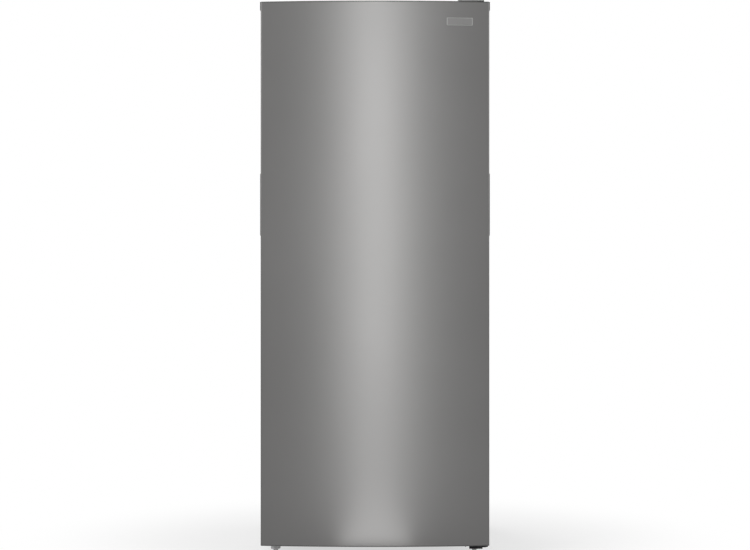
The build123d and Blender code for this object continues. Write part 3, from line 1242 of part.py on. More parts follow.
def door_bin(level):
    """Moulded door bin with a lip along its front and a saddle on each side over the door's lugs."""
    shell = bin_form(level, 0) - bin_form(level, BIN_WALL) - bin_shoulder(level)
    rise = level + LUG_RISE
    y = centred(LUG_WIDTH / 2 + LUG_FIT + SADDLE_WALL, LUG_Y)
    x = (BIN_HALF, RECESS_HALF - LUG_FIT)
    saddle = block(x, y, (rise, rise + LUG_HEIGHT + LUG_FIT + SADDLE_WALL))
    saddle -= bin_lugs(level, LUG_FIT, (RECESS_HALF - LUG_REACH - LUG_FIT, DYKE_HALF))
    lip = block(centred(BIN_HALF - BIN_CORNER), (BIN_TIP - BIN_WALL, BIN_TIP),
                (level + BIN_HEIGHT, level + BIN_HEIGHT + BIN_RIM))
    return joined([shell, lip] + both_sides(saddle))


# ---- fasteners ----
def hinge_screw_y():
    """Where the three screws of a top hinge plate lie along its leaf."""
    return spread(3, HINGE_SCREW_PITCH, CABINET_FRONT + HINGE_LEAF_LENGTH / 2)


def cabinet_screws():
    """Hexagon screws of the hinges, the foot bracket and the rear cover."""
    leaf_x = PIN_X - HINGE_LEAF_WIDTH / 2
    heads = [screw((leaf_x, y, CABINET_TOP + HINGE_PLATE), (0, 0, 1)) for y in hinge_screw_y()]
    right = BRACKET_RIGHT - BRACKET_SCREW_INSET
    y = BRACKET_FRONT + BRACKET_DEPTH - BRACKET_SCREW_INSET
    for x in (right, right - BRACKET_SCREW_PITCH):
        heads += both_sides(screw((x, y, BRACKET_BOTTOM), (0, 0, -1)))
    x = MACHINE_HALF - COVER_SCREW_INSET
    for z in (BASE_HEIGHT + COVER_SCREW_INSET, MACHINE_TOP - COVER_SCREW_INSET):
        heads += both_sides(screw((x, REAR_COVER_OUTSIDE, z), (0, 1, 0)))
    return heads


def hole_plugs():
    """Buttons over the screw holes for the hinge on the other side."""
    x = HINGE_LEAF_WIDTH / 2 - PIN_X
    return [faceted(x, y, (CABINET_TOP, CABINET_TOP + PLUG_HEIGHT), PLUG_WIDTH, 6) for y in hinge_screw_y()]


def main():
    """Builds every piece and writes its file."""
    os.makedirs("parts", exist_ok=True)
    pieces = {
        "cabinet_wrapper": cabinet_wrapper(),
        "cabinet_back": cabinet_back(),
        "cabinet_foam": cabinet_foam(),
        "cabinet_liner": cabinet_liner(),
        "bottom_panel": bottom_panel(),
        "front_rail": front_rail(),
        "condenser_loop": condenser_loop(),
        "evaporator_cover": evaporator_cover(),
        "evaporator_coil": evaporator_coil(),
        "defrost_heater": defrost_heater(),
        "drain_trough": drain_trough(),
        "fan_motor": fan_motor(),
        "fan_blade": fan_blade(),
        "control_housing": control_housing(),
        "temperature_dial": temperature_dial(),
        "lamp_lens": lamp_lens(),
        "led_board": led_board(),
        "basket": basket(),
        "basket_handle": basket_handle(),
        "basket_rails": basket_rails(),
        "base_pan": base_pan(),
        "compressor": compressor(),
        "compressor_mounts": compressor_mounts(),
        "relay_box": relay_box(),
        "drain_pan": drain_pan(),
        "rear_cover": rear_cover(),
        "cord_gland": cord_gland(),
        "left_foot": front_foot(-FOOT_X),
        "right_foot": front_foot(FOOT_X),
        "foot_bracket": foot_bracket(),
        "roller_brackets": both_sides(roller_bracket()),
        "left_roller": roller(-ROLLER_X),
        "right_roller": roller(ROLLER_X),
        "top_hinge_bracket": top_hinge_bracket(),
        "top_hinge_cover": top_hinge_cover(),
        "bottom_hinge_bracket": bottom_hinge_bracket(),
        "hinge_pins": hinge_pins(),
        "hinge_bushes": hinge_bushes(),
        "cabinet_screws": cabinet_screws(),
        "hole_plugs": hole_plugs(),
        "door_skin": door_skin(),
        "door_foam": door_foam(),
        "door_liner": door_liner(),
        "door_top_cap": door_top_cap(),
        "door_bottom_cap": door_bottom_cap(),
        "door_gasket": door_gasket(),
        "gasket_magnets": gasket_magnets(),
        "right_grip": side_grip(),
        "left_grip": mirror(side_grip(), about=Plane.YZ),
        "badge_plate": badge_plate(),
    }
    for number, level in enumerate(SHELF_LEVELS, start=1):
        pieces[f"wire_shelf_{number}"] = wire_shelf(level)
    for number, level in enumerate(BIN_LEVELS, start=1):
        pieces[f"door_bin_{number}"] = door_bin(level)
    for name, piece in pieces.items():
        save(name, piece)


if __name__ == "__main__":
    main()
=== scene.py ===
"""Looks of an upright frost-free freezer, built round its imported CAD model.

Sizes are in millimetres unless a name says otherwise, in the frame of the CAD model: +Z up, -Y the front,
+X the hinge side, with the origin on the floor in the middle of the width and depth. Form turns them into metres.
"""

import json
import logging
import math
from collections.abc import Callable, Iterable, Sequence
from dataclasses import dataclass
from enum import Enum, auto

import bmesh
import bpy
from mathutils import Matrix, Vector

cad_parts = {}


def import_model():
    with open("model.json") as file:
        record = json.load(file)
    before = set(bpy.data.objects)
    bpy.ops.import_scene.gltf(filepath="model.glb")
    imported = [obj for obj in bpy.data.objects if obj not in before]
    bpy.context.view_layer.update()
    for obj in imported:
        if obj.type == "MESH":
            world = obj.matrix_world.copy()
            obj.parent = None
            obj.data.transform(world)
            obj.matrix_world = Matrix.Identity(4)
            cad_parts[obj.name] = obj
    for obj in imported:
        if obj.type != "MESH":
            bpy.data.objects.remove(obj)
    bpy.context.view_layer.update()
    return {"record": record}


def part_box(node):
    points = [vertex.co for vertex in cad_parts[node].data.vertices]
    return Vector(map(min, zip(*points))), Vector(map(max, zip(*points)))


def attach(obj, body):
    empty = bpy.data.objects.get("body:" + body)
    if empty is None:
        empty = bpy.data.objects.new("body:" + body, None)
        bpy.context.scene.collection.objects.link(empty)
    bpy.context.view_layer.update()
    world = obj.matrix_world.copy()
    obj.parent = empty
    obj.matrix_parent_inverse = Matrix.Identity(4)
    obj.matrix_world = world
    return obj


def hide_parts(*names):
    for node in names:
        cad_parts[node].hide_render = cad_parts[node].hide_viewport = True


MM = 0.001
LOG = logging.getLogger("freezer")

OVERLAP = 0.2
SHARP_EDGE = 34.0
LEAST_RADIUS = 0.02
MERGE_METRES = 1e-6
SLIVER_METRES = 1e-7
NOISE_LOW, NOISE_HIGH = 0.2, 0.8
PATCH_DETAIL = 5.0
COAT_ROUGHNESS = 0.12
PLASTIC_IOR = 1.49
WELD_METRES = 1e-5
FLAT_DEGREES = 0.5
BEVEL_DEGREES = 40.0
HEX_CORNER = 1.11
FLUTES, FLUTE_DEPTH = 24, 0.022

Point = tuple[float, float, float]
Pair = tuple[float, float]
Row = tuple[float, float, float, float]
Ring = list[Point]


# ---- finishes ----
class Grain(Enum):
    """Fine surface detail that a finish can have."""

    SMOOTH = auto()
    FLAKE = auto()
    STIPPLE = auto()
    MOULDED = auto()
    BRUSHED = auto()
    SPANGLE = auto()
    FROSTED = auto()
    CELLULAR = auto()


@dataclass(frozen=True)
class Relief:
    """How one grain is made from noise.

    Attributes:
        cells: True for cells, False for cloudy noise.
        stretch: Scale along X, Y and Z, per metre.
        depth: Height of the relief in millimetres.
        detail: Octaves of the noise.
    """

    cells: bool
    stretch: Point
    depth: float
    detail: float = 2.0


RELIEFS = {
    Grain.SMOOTH: Relief(False, (90, 90, 90), 0.004),
    Grain.FLAKE: Relief(False, (260, 260, 260), 0.006, 3.0),
    Grain.STIPPLE: Relief(True, (520, 520, 520), 0.09),
    Grain.MOULDED: Relief(False, (1400, 1400, 1400), 0.03, 3.0),
    Grain.BRUSHED: Relief(False, (30, 30, 2600), 0.012, 4.0),
    Grain.SPANGLE: Relief(True, (90, 90, 90), 0.012),
    Grain.FROSTED: Relief(False, (900, 900, 900), 0.02, 4.0),
    Grain.CELLULAR: Relief(True, (650, 650, 650), 0.25),
}


class NodeGraph:
    """A node tree with short ways to add and join nodes."""

    def __init__(self, owner: bpy.types.Material | bpy.types.World) -> None:
        """Starts with an empty tree.

        Args:
            owner: The material or world that the tree belongs to.
        """
        owner.use_nodes = True
        self.tree = owner.node_tree
        self.tree.nodes.clear()

    def add(self, kind: str, values: dict | None = None, **settings: object) -> bpy.types.Node:
        """Adds a node.

        Args:
            kind: Node type, such as "ShaderNodeBump".
            values: Input names or numbers with their values; another node's socket is linked.
            settings: Properties of the node itself.

        Returns:
            The new node.
        """
        node = self.tree.nodes.new(kind)
        for key, value in settings.items():
            setattr(node, key, value)
        for key, value in (values or {}).items():
            if isinstance(value, bpy.types.NodeSocket):
                self.tree.links.new(value, node.inputs[key])
            else:
                node.inputs[key].default_value = value
        return node

    def spread(self, factor: bpy.types.NodeSocket, low: float, high: float) -> bpy.types.NodeSocket:
        """Maps the usual range of a noise to another one, with soft ends.

        Args:
            factor: The noise's socket.
            low: Value at the noise's low end.
            high: Value at the noise's high end.

        Returns:
            The mapped socket.
        """
        values = {"Value": factor, "From Min": NOISE_LOW, "From Max": NOISE_HIGH, "To Min": low, "To Max": high}
        return self.add("ShaderNodeMapRange", values, interpolation_type="SMOOTHSTEP").outputs["Result"]


@dataclass(frozen=True)
class Finish:
    """One real finish, with colour, gloss, fine relief and a faint unevenness over the surface.

    Attributes:
        name: Name of the finish, and of the record's slot that it belongs to.
        colour: Linear base colour.
        rough: Mean roughness.
        grain: Kind of fine relief.
        metal: Share of metal, from 0 to 1.
        mottle: How far the colour strays, as a share.
        gloss_drift: How far the roughness strays.
        coat: Weight of a clear coat.
        clear: Share of light that passes through.
        shine: Strength of the mirrored light, 0.5 for a usual surface.
        patch: Size of the uneven patches, in patches per metre.
        strength: Strength of the relief.
        slot: The record's slot, where it isn't the finish's own name.
    """

    name: str
    colour: Point
    rough: float
    grain: Grain = Grain.MOULDED
    metal: float = 0.0
    mottle: float = 0.05
    gloss_drift: float = 0.05
    coat: float = 0.0
    clear: float = 0.0
    shine: float = 0.5
    patch: float = 5.0
    strength: float = 0.5
    slot: str = ""

    @property
    def label(self) -> str:
        """Name of the finish's material."""
        return self.name + "_finish"

    def material(self) -> bpy.types.Material:
        """Makes the finish's material, or returns the one made before."""
        return bpy.data.materials.get(self.label) or self.build()

    def build(self) -> bpy.types.Material:
        """Builds the node tree.

        Returns:
            The new material.
        """
        material = bpy.data.materials.new(self.label)
        graph = NodeGraph(material)
        relief = RELIEFS[self.grain]
        place = graph.add("ShaderNodeTexCoord").outputs["Object"]
        scaled = graph.add("ShaderNodeMapping", {"Vector": place, "Scale": relief.stretch}).outputs["Vector"]
        if relief.cells:
            fine = graph.add("ShaderNodeTexVoronoi", {"Vector": scaled, "Scale": 1.0}).outputs["Distance"]
        else:
            values = {"Vector": scaled, "Scale": 1.0, "Detail": relief.detail}
            fine = graph.add("ShaderNodeTexNoise", values).outputs["Fac"]
        bump = graph.add("ShaderNodeBump", {"Height": fine, "Strength": self.strength, "Distance": relief.depth * MM})
        values = {"Vector": place, "Scale": self.patch, "Detail": PATCH_DETAIL}
        broad = graph.add("ShaderNodeTexNoise", values).outputs["Fac"]
        low = [c * (1 - self.mottle) for c in self.colour]
        high = [min(1.0, c * (1 + self.mottle)) for c in self.colour]
        share = graph.spread(broad, 0.0, 1.0)
        tint = graph.add("ShaderNodeMix", {0: share, 6: (*low, 1), 7: (*high, 1)}, data_type="RGBA")
        rough = self.rough
        if self.gloss_drift:
            rough = graph.spread(broad, self.rough - self.gloss_drift, self.rough + self.gloss_drift)
        surface = {"Base Color": tint.outputs[2], "Roughness": rough, "Metallic": self.metal,
                   "Normal": bump.outputs["Normal"], "Coat Weight": self.coat, "Coat Roughness": COAT_ROUGHNESS,
                   "Transmission Weight": self.clear, "IOR": PLASTIC_IOR, "Specular IOR Level": self.shine}
        shader = graph.add("ShaderNodeBsdfPrincipled", surface)
        graph.add("ShaderNodeOutputMaterial", {"Surface": shader.outputs["BSDF"]})
        return material


FINISHES = {f.name: f for f in (
    Finish("door_paint", (0.127, 0.1255, 0.1240), 0.30, Grain.FLAKE, metal=0.85, mottle=0.02, gloss_drift=0.015,
           patch=2.0, strength=0.25),
    Finish("cabinet_paint", (0.185, 0.185, 0.180), 0.48, Grain.STIPPLE, metal=0.25, mottle=0.03, patch=3.0),
    Finish("trim_grey", (0.180, 0.180, 0.174), 0.42, Grain.MOULDED, metal=0.2, mottle=0.03),
    # Dark grey trim plastic painted darker than trim_grey, as painted shade along the door's end caps and in the grips;
    # same slot as trim_grey.
    Finish("trim_painted_shade", (0.060, 0.060, 0.059), 0.40, Grain.MOULDED, metal=0.2, mottle=0.03, slot="trim_grey"),
    Finish("badge_silver", (0.235, 0.234, 0.231), 0.30, Grain.BRUSHED, metal=0.8, mottle=0.03),
    Finish("badge_field", (0.150, 0.149, 0.147), 0.36, Grain.BRUSHED, metal=0.8, mottle=0.03, slot="badge_silver"),
    Finish("zinc_steel", (0.32, 0.325, 0.33), 0.42, Grain.SPANGLE, metal=0.85, patch=75.0),
    Finish("foam", (0.80, 0.72, 0.48), 0.85, Grain.CELLULAR, mottle=0.06),
    Finish("liner_white", (0.77, 0.78, 0.79), 0.28, Grain.SMOOTH, mottle=0.004, gloss_drift=0.0, patch=2.5),
    Finish("white_plastic", (0.75, 0.76, 0.77), 0.36, Grain.MOULDED, mottle=0.004, gloss_drift=0.0, patch=2.5),
    Finish("bin_plastic", (0.86, 0.91, 0.94), 0.16, Grain.FROSTED, mottle=0.02, clear=0.86, strength=0.3),
    Finish("clear_plastic", (0.93, 0.95, 0.96), 0.22, Grain.FROSTED, mottle=0.01, clear=0.8),
    Finish("board_white", (0.75, 0.76, 0.74), 0.45, Grain.MOULDED, mottle=0.03),
    Finish("dial_grey", (0.35, 0.36, 0.37), 0.40, Grain.MOULDED),
    Finish("wire_white", (0.78, 0.79, 0.80), 0.28, Grain.SMOOTH, mottle=0.02, coat=0.3),
    Finish("tube_steel", (0.40, 0.40, 0.40), 0.35, Grain.BRUSHED, metal=0.9),
    Finish("aluminium", (0.70, 0.71, 0.72), 0.32, Grain.BRUSHED, metal=1.0),
    Finish("black_plastic", (0.022, 0.022, 0.023), 0.45, Grain.MOULDED, mottle=0.15),
    Finish("black_paint", (0.018, 0.018, 0.019), 0.36, Grain.SMOOTH, metal=0.1, mottle=0.12, coat=0.2),
    # Black paint made darker and duller, as painted shade beside the feet, for the foot and lower hinge brackets; same
    # slot as black_paint.
    Finish("bracket_painted_shade", (0.010, 0.010, 0.011), 0.55, Grain.MOULDED, mottle=0.12, shine=0.12, slot="black_paint"),
    # Steel pins painted near black and dull, as painted shade at the hinges; same slot as pin_steel.
    Finish("pin_painted_shade", (0.020, 0.020, 0.021), 0.50, Grain.BRUSHED, metal=0.4, mottle=0.1, shine=0.2, slot="pin_steel"),
    Finish("mount_rubber", (0.020, 0.020, 0.020), 0.70, Grain.MOULDED, mottle=0.15),
    Finish("foot_grey", (0.40, 0.40, 0.40), 0.50, Grain.MOULDED, mottle=0.06, patch=40.0),
    Finish("roller_white", (0.62, 0.62, 0.61), 0.45, Grain.MOULDED, mottle=0.06, patch=40.0),
    Finish("pin_steel", (0.50, 0.50, 0.51), 0.30, Grain.BRUSHED, metal=0.95, mottle=0.08, patch=60.0),
    Finish("bush_plastic", (0.72, 0.72, 0.70), 0.40, Grain.MOULDED),
    Finish("gasket_grey", (0.42, 0.425, 0.43), 0.55, Grain.MOULDED, mottle=0.04, patch=12.0),
    Finish("magnet", (0.05, 0.045, 0.04), 0.60, Grain.MOULDED, mottle=0.1),
)}


# ---- outlines and meshes ----
def arc(centre: Pair, radius: float, start: float, end: float, steps: int) -> list[Row]:
    """Points of a round corner with their outward directions.

    Args:
        centre: The corner's centre.
        radius: The corner's radius.
        start: First angle in degrees.
        end: Last angle in degrees.
        steps: Number of points.

    Returns:
        Rows of (u, v, u direction, v direction).
    """
    rows = []
    for i in range(steps):
        angle = math.radians(start + (end - start) * i / (steps - 1))
        side = (math.cos(angle), math.sin(angle))
        rows.append((centre[0] + radius * side[0], centre[1] + radius * side[1], *side))
    return rows


def rounded(u: Pair, v: Pair, radius: float, steps: int = 7) -> list[Pair]:
    """A rectangle with round corners, counter-clockwise from its right side.

    Args:
        u: Low and high along the first axis.
        v: Low and high along the second axis.
        radius: The corners' radius.
        steps: Points in each corner.

    Returns:
        The outline's points.
    """
    radius = max(radius, LEAST_RADIUS)
    corners = [(u[1] - radius, v[1] - radius, 0), (u[0] + radius, v[1] - radius, 90),
               (u[0] + radius, v[0] + radius, 180), (u[1] - radius, v[0] + radius, 270)]
    return [row[:2] for x, y, a in corners for row in arc((x, y), radius, a, a + 90, steps)]


def centred(half: float, middle: float = 0.0) -> Pair:
    """The low and high that lie evenly about the middle."""
    return (middle - half, middle + half)


def shrunk(pair: Pair, inset: float) -> Pair:
    """The pair moved inwards at both ends."""
    return (pair[0] + inset, pair[1] - inset)


def mirrored(side: int, near: float, far: float) -> Pair:
    """The two places on one side of the middle, low first."""
    return (side * near, side * far) if side * near < side * far else (side * far, side * near)


def evenly(count: int, half: float, middle: float = 0.0) -> list[float]:
    """Evenly spaced places across both sides of the middle."""
    return [middle - half + 2 * half * i / (count - 1) for i in range(count)]


def breaks(low: float, high: float, inner: Iterable[float]) -> list[float]:
    """Sorted grid lines from low to high with the inner ones that lie between them."""
    return sorted({low, high} | {round(x, 4) for x in inner if low < x < high})


def box_mm(node: str) -> tuple[Pair, Pair, Pair]:
    """A CAD node's box as low and high pairs along X, Y and Z, in millimetres."""
    low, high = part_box(node)
    return tuple((a / MM, b / MM) for a, b in zip(low, high))


class Form:
    """Collects points and faces, in millimetres, and makes one object of them."""

    def __init__(self) -> None:
        """Starts with no points and no faces."""
        self.points: list[Point] = []
        self.faces: list[tuple[int, ...]] = []

    def add(self, ring: Iterable[Point]) -> list[int]:
        """Adds points.

        Args:
            ring: The points.

        Returns:
            Their numbers.
        """
        start = len(self.points)
        self.points.extend(ring)
        return list(range(start, len(self.points)))

    def loft(self, rings: Sequence[Ring], closed: bool = True, cyclic: bool = False, caps: bool = True) -> "Form":
        """Joins rings of equal length by quads.

        Args:
            rings: The rings in order.
            closed: Whether each ring closes on itself.
            cyclic: Whether the last ring joins the first.
            caps: Whether the open ends are filled.

        Returns:
            This form.
        """
        loops = [self.add(ring) for ring in rings]
        pairs = list(zip(loops, loops[1:])) + ([(loops[-1], loops[0])] if cyclic else [])
        for a, b in pairs:
            for i in range(len(a) if closed else len(a) - 1):
                j = (i + 1) % len(a)
                self.faces.append((a[i], a[j], b[j], b[i]))
        if caps and cyclic and not closed:
            self.faces.append(tuple(loop[0] for loop in loops))
            self.faces.append(tuple(loop[-1] for loop in reversed(loops)))
        elif caps and not cyclic:
            self.faces.append(tuple(reversed(loops[0])))
            self.faces.append(tuple(loops[-1]))
        return self

    def sheet(self, columns: int, rows: int, place: Callable[[int, int, int], Point],
              keep: Callable[[int, int], bool] = lambda i, j: True, closed: bool = False) -> "Form":
        """Makes a thin wall on a grid, with the cells that aren't kept left open.

        Args:
            columns: Grid points along the first direction.
            rows: Grid points along the second direction.
            place: Gives the point at a column, row and side, 0 for the outer and 1 for the inner side.
            keep: Whether the cell at a column and row is there.
            closed: Whether the first direction closes on itself.

        Returns:
            This form.
        """
        numbers: dict[tuple[int, int, int], int] = {}

        def at(column: int, row: int, side: int) -> int:
            """Finds a grid point, which is made when it is first asked for.

            Args:
                column: Its place along the first direction.
                row: Its place along the second direction.
                side: 0 for the outer and 1 for the inner side.

            Returns:
                Its number.
            """
            key = (column % columns, row, side)
            if key not in numbers:
                numbers[key] = self.add([place(*key)])[0]
            return numbers[key]

        across = columns if closed else columns - 1
        kept = [(i, j) for i in range(across) for j in range(rows - 1) if keep(i, j)]
        there = set(kept)
        for i, j in kept:
            a, b, c, d = (i, j), (i + 1, j), (i + 1, j + 1), (i, j + 1)
            self.faces.append(tuple(at(*p, 0) for p in (a, b, c, d)))
            self.faces.append(tuple(at(*p, 1) for p in (d, c, b, a)))
            for p, q, beside in ((a, b, (i, j - 1)), (b, c, (i + 1, j)), (c, d, (i, j + 1)), (d, a, (i - 1, j))):
                if closed:
                    beside = (beside[0] % across, beside[1])
                if beside not in there:
                    self.faces.append((at(*q, 0), at(*p, 0), at(*p, 1), at(*q, 1)))
        return self

    def slab(self, x: Pair, y: Pair, z: Pair, corner: float = 0.6, edge: float = 0.4) -> "Form":
        """Adds an upright block with round corners and softened edges.

        Args:
            x: Low and high along X.
            y: Low and high along Y.
            z: Low and high along Z.
            corner: Radius of the upright corners.
            edge: Width of the softened top and bottom edges.

        Returns:
            This form.
        """
        rings = [[(u, v, level) for u, v in rounded(shrunk(x, inset), shrunk(y, inset), corner - inset / 2, 4)]
                 for level, inset in ((z[0], edge), (z[0] + edge, 0), (z[1] - edge, 0), (z[1], edge))]
        return self.loft(rings)

    def turned(self, origin: Point, axis: Point, profile: Sequence[Pair], sides: int = 32,
               lobe: Callable[[float], float] | None = None) -> "Form":
        """Adds a turned shape.

        Args:
            origin: Where the axis starts.
            axis: The axis' direction.
            profile: Rows of (radius, height along the axis).
            sides: Points round the axis.
            lobe: Factor on the radius at an angle in radians, for fluted or hexagonal shapes.

        Returns:
            This form.
        """
        along = Vector(axis).normalized()
        first = along.orthogonal().normalized()
        second = along.cross(first)
        rings = []
        for radius, height in profile:
            ring = []
            for i in range(sides):
                angle = 2 * math.pi * i / sides
                reach = radius * (lobe(angle) if lobe else 1.0)
                spot = first * (reach * math.cos(angle)) + second * (reach * math.sin(angle)) + along * height
                ring.append(tuple(Vector(origin) + spot))
            rings.append(ring)
        return self.loft(rings)

    def rod(self, start: Point, end: Point, radius: float, sides: int = 12) -> "Form":
        """Adds a round rod with softened ends.

        Args:
            start: Middle of the first end.
            end: Middle of the last end.
            radius: The rod's radius.
            sides: Points round the rod.

        Returns:
            This form.
        """
        run = Vector(end) - Vector(start)
        tip, blunt = radius * 0.5, radius * 0.6
        profile = [(blunt, 0), (radius, tip), (radius, run.length - tip), (blunt, run.length)]
        return self.turned(start, tuple(run), profile, sides)

    def build(self, name: str) -> bpy.types.Object:
        """Makes the object, with smooth faces, sharp edges over an angle and large faces kept flat.

        Args:
            name: The object's name.

        Returns:
            The new object.
        """
        mesh = bpy.data.meshes.new(name)
        mesh.from_pydata([tuple(c * MM for c in p) for p in self.points], [], self.faces)
        work = bmesh.new()
        work.from_mesh(mesh)
        bmesh.ops.remove_doubles(work, verts=work.verts, dist=MERGE_METRES)
        bmesh.ops.dissolve_degenerate(work, edges=work.edges, dist=SLIVER_METRES)
        bmesh.ops.recalc_face_normals(work, faces=work.faces)
        for face in work.faces:
            face.smooth = True
        for edge in work.edges:
            edge.smooth = len(edge.link_faces) == 2 and edge.calc_face_angle(0.0) < math.radians(SHARP_EDGE)
        work.to_mesh(mesh)
        work.free()
        made = bpy.data.objects.new(name, mesh)
        bpy.context.scene.collection.objects.link(made)
        made.modifiers.new("flat_faces", "WEIGHTED_NORMAL").keep_sharp = True
        return made


def hexagon(angle: float) -> float:
    """Factor that turns a circle of the flats' radius into a hexagon with slightly rounded corners."""
    turn = (angle + math.pi / 6) % (math.pi / 3) - math.pi / 6
    return min(1 / math.cos(turn), HEX_CORNER)


def fluted(angle: float) -> float:
    """Factor that gives a dial's rim its shallow flutes."""
    return 1.0 - FLUTE_DEPTH * (1 + math.cos(FLUTES * angle)) / 2


# ---- sub-assemblies ----
class SubAssembly:
    """A group of pieces that ride on one body."""

    body = "cabinet"

    def build(self) -> None:
        """Makes every piece of the group."""
        raise NotImplementedError

    def fit(self, form: Form, name: str, finish: str, replaces: Sequence[str] = (), body: str = "") -> None:
        """Makes one piece of a form, dresses it and sets it on its body.

        Args:
            form: The piece's shape.
            name: The piece's name.
            finish: Name of its finish.
            replaces: CAD nodes that it stands for.
            body: Body to ride on, if it isn't the group's own.
        """
        piece = form.build(name)
        piece.data.materials.append(FINISHES[finish].material())
        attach(piece, body or self.body)
        FINISHES[finish].slot or finish
        if replaces:
            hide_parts(*replaces)
        LOG.info("%s: %d faces on %s", name, len(piece.data.polygons), body or self.body)


@dataclass
class DoorPlan:
    """The bowed plan of the door, with round front corners.

    Attributes:
        half: Half of the door's width.
        front: Y of the middle of the bowed face.
        back: Y of the door's back.
        bow: How far the face's middle stands in front of its edges.
        corner: Radius of the front corners.
        bow_steps: Steps in half of the bow.
        hem_round: Radius where the sheet turns in behind the door.
    """

    half: float = 347.0
    front: float = -363.5
    back: float = -293.5
    bow: float = 22.0
    corner: float = 5.0
    bow_steps: int = 48
    hem_round: float = 1.2

    @property
    def bow_radius(self) -> float:
        """Radius of the bowed face."""
        return (self.half**2 + self.bow**2) / (2 * self.bow)

    def face_y(self, x: float) -> float:
        """Y of the bowed face at x."""
        return self.front + self.bow_radius - math.sqrt(self.bow_radius**2 - x**2)

    def right_side(self, stops: Sequence[float], hem: float) -> list[Row]:
        """Follows the plan from the middle of the face round to the end of the right hem.

        Args:
            stops: Y values on the door's side that need a grid line.
            hem: Length of the hem behind the door's edge, or 0 for none.

        Returns:
            Rows of (x, y, x direction, y direction), without the one at x = 0.
        """
        inner = self.bow_radius - self.corner
        lean = math.asin((self.half - self.corner) / inner)
        middle = self.front + self.bow_radius
        rows = []
        for i in range(1, self.bow_steps + 1):
            angle = lean * i / self.bow_steps
            rows.append((self.bow_radius * math.sin(angle), middle - self.bow_radius * math.cos(angle),
                         math.sin(angle), -math.cos(angle)))
        centre = (self.half - self.corner, middle - inner * math.cos(lean))
        rows += arc(centre, self.corner, math.degrees(lean) - 90, 0, 7)[1:]
        rows += [(self.half, y, 1.0, 0.0) for y in stops]
        if hem:
            rows += arc((self.half - self.hem_round, self.back - self.hem_round), self.hem_round, 0, 90, 4)
            rows.append((self.half - hem, self.back, 0.0, 1.0))
        else:
            rows.append((self.half, self.back, 1.0, 0.0))
        return rows

    def path(self, stops: Sequence[float] = (), hem: float = 0.0) -> list[Row]:
        """Follows the plan from the left end round the face to the right end.

        Args:
            stops: Y values on the door's sides that need a grid line.
            hem: Length of the hem behind the door's edges, or 0 for none.

        Returns:
            Rows of (x, y, x direction, y direction).
        """
        right = self.right_side(stops, hem)
        left = [(-x, y, -nx, ny) for x, y, nx, ny in reversed(right)]
        return left + [(0.0, self.front, 0.0, -1.0)] + right


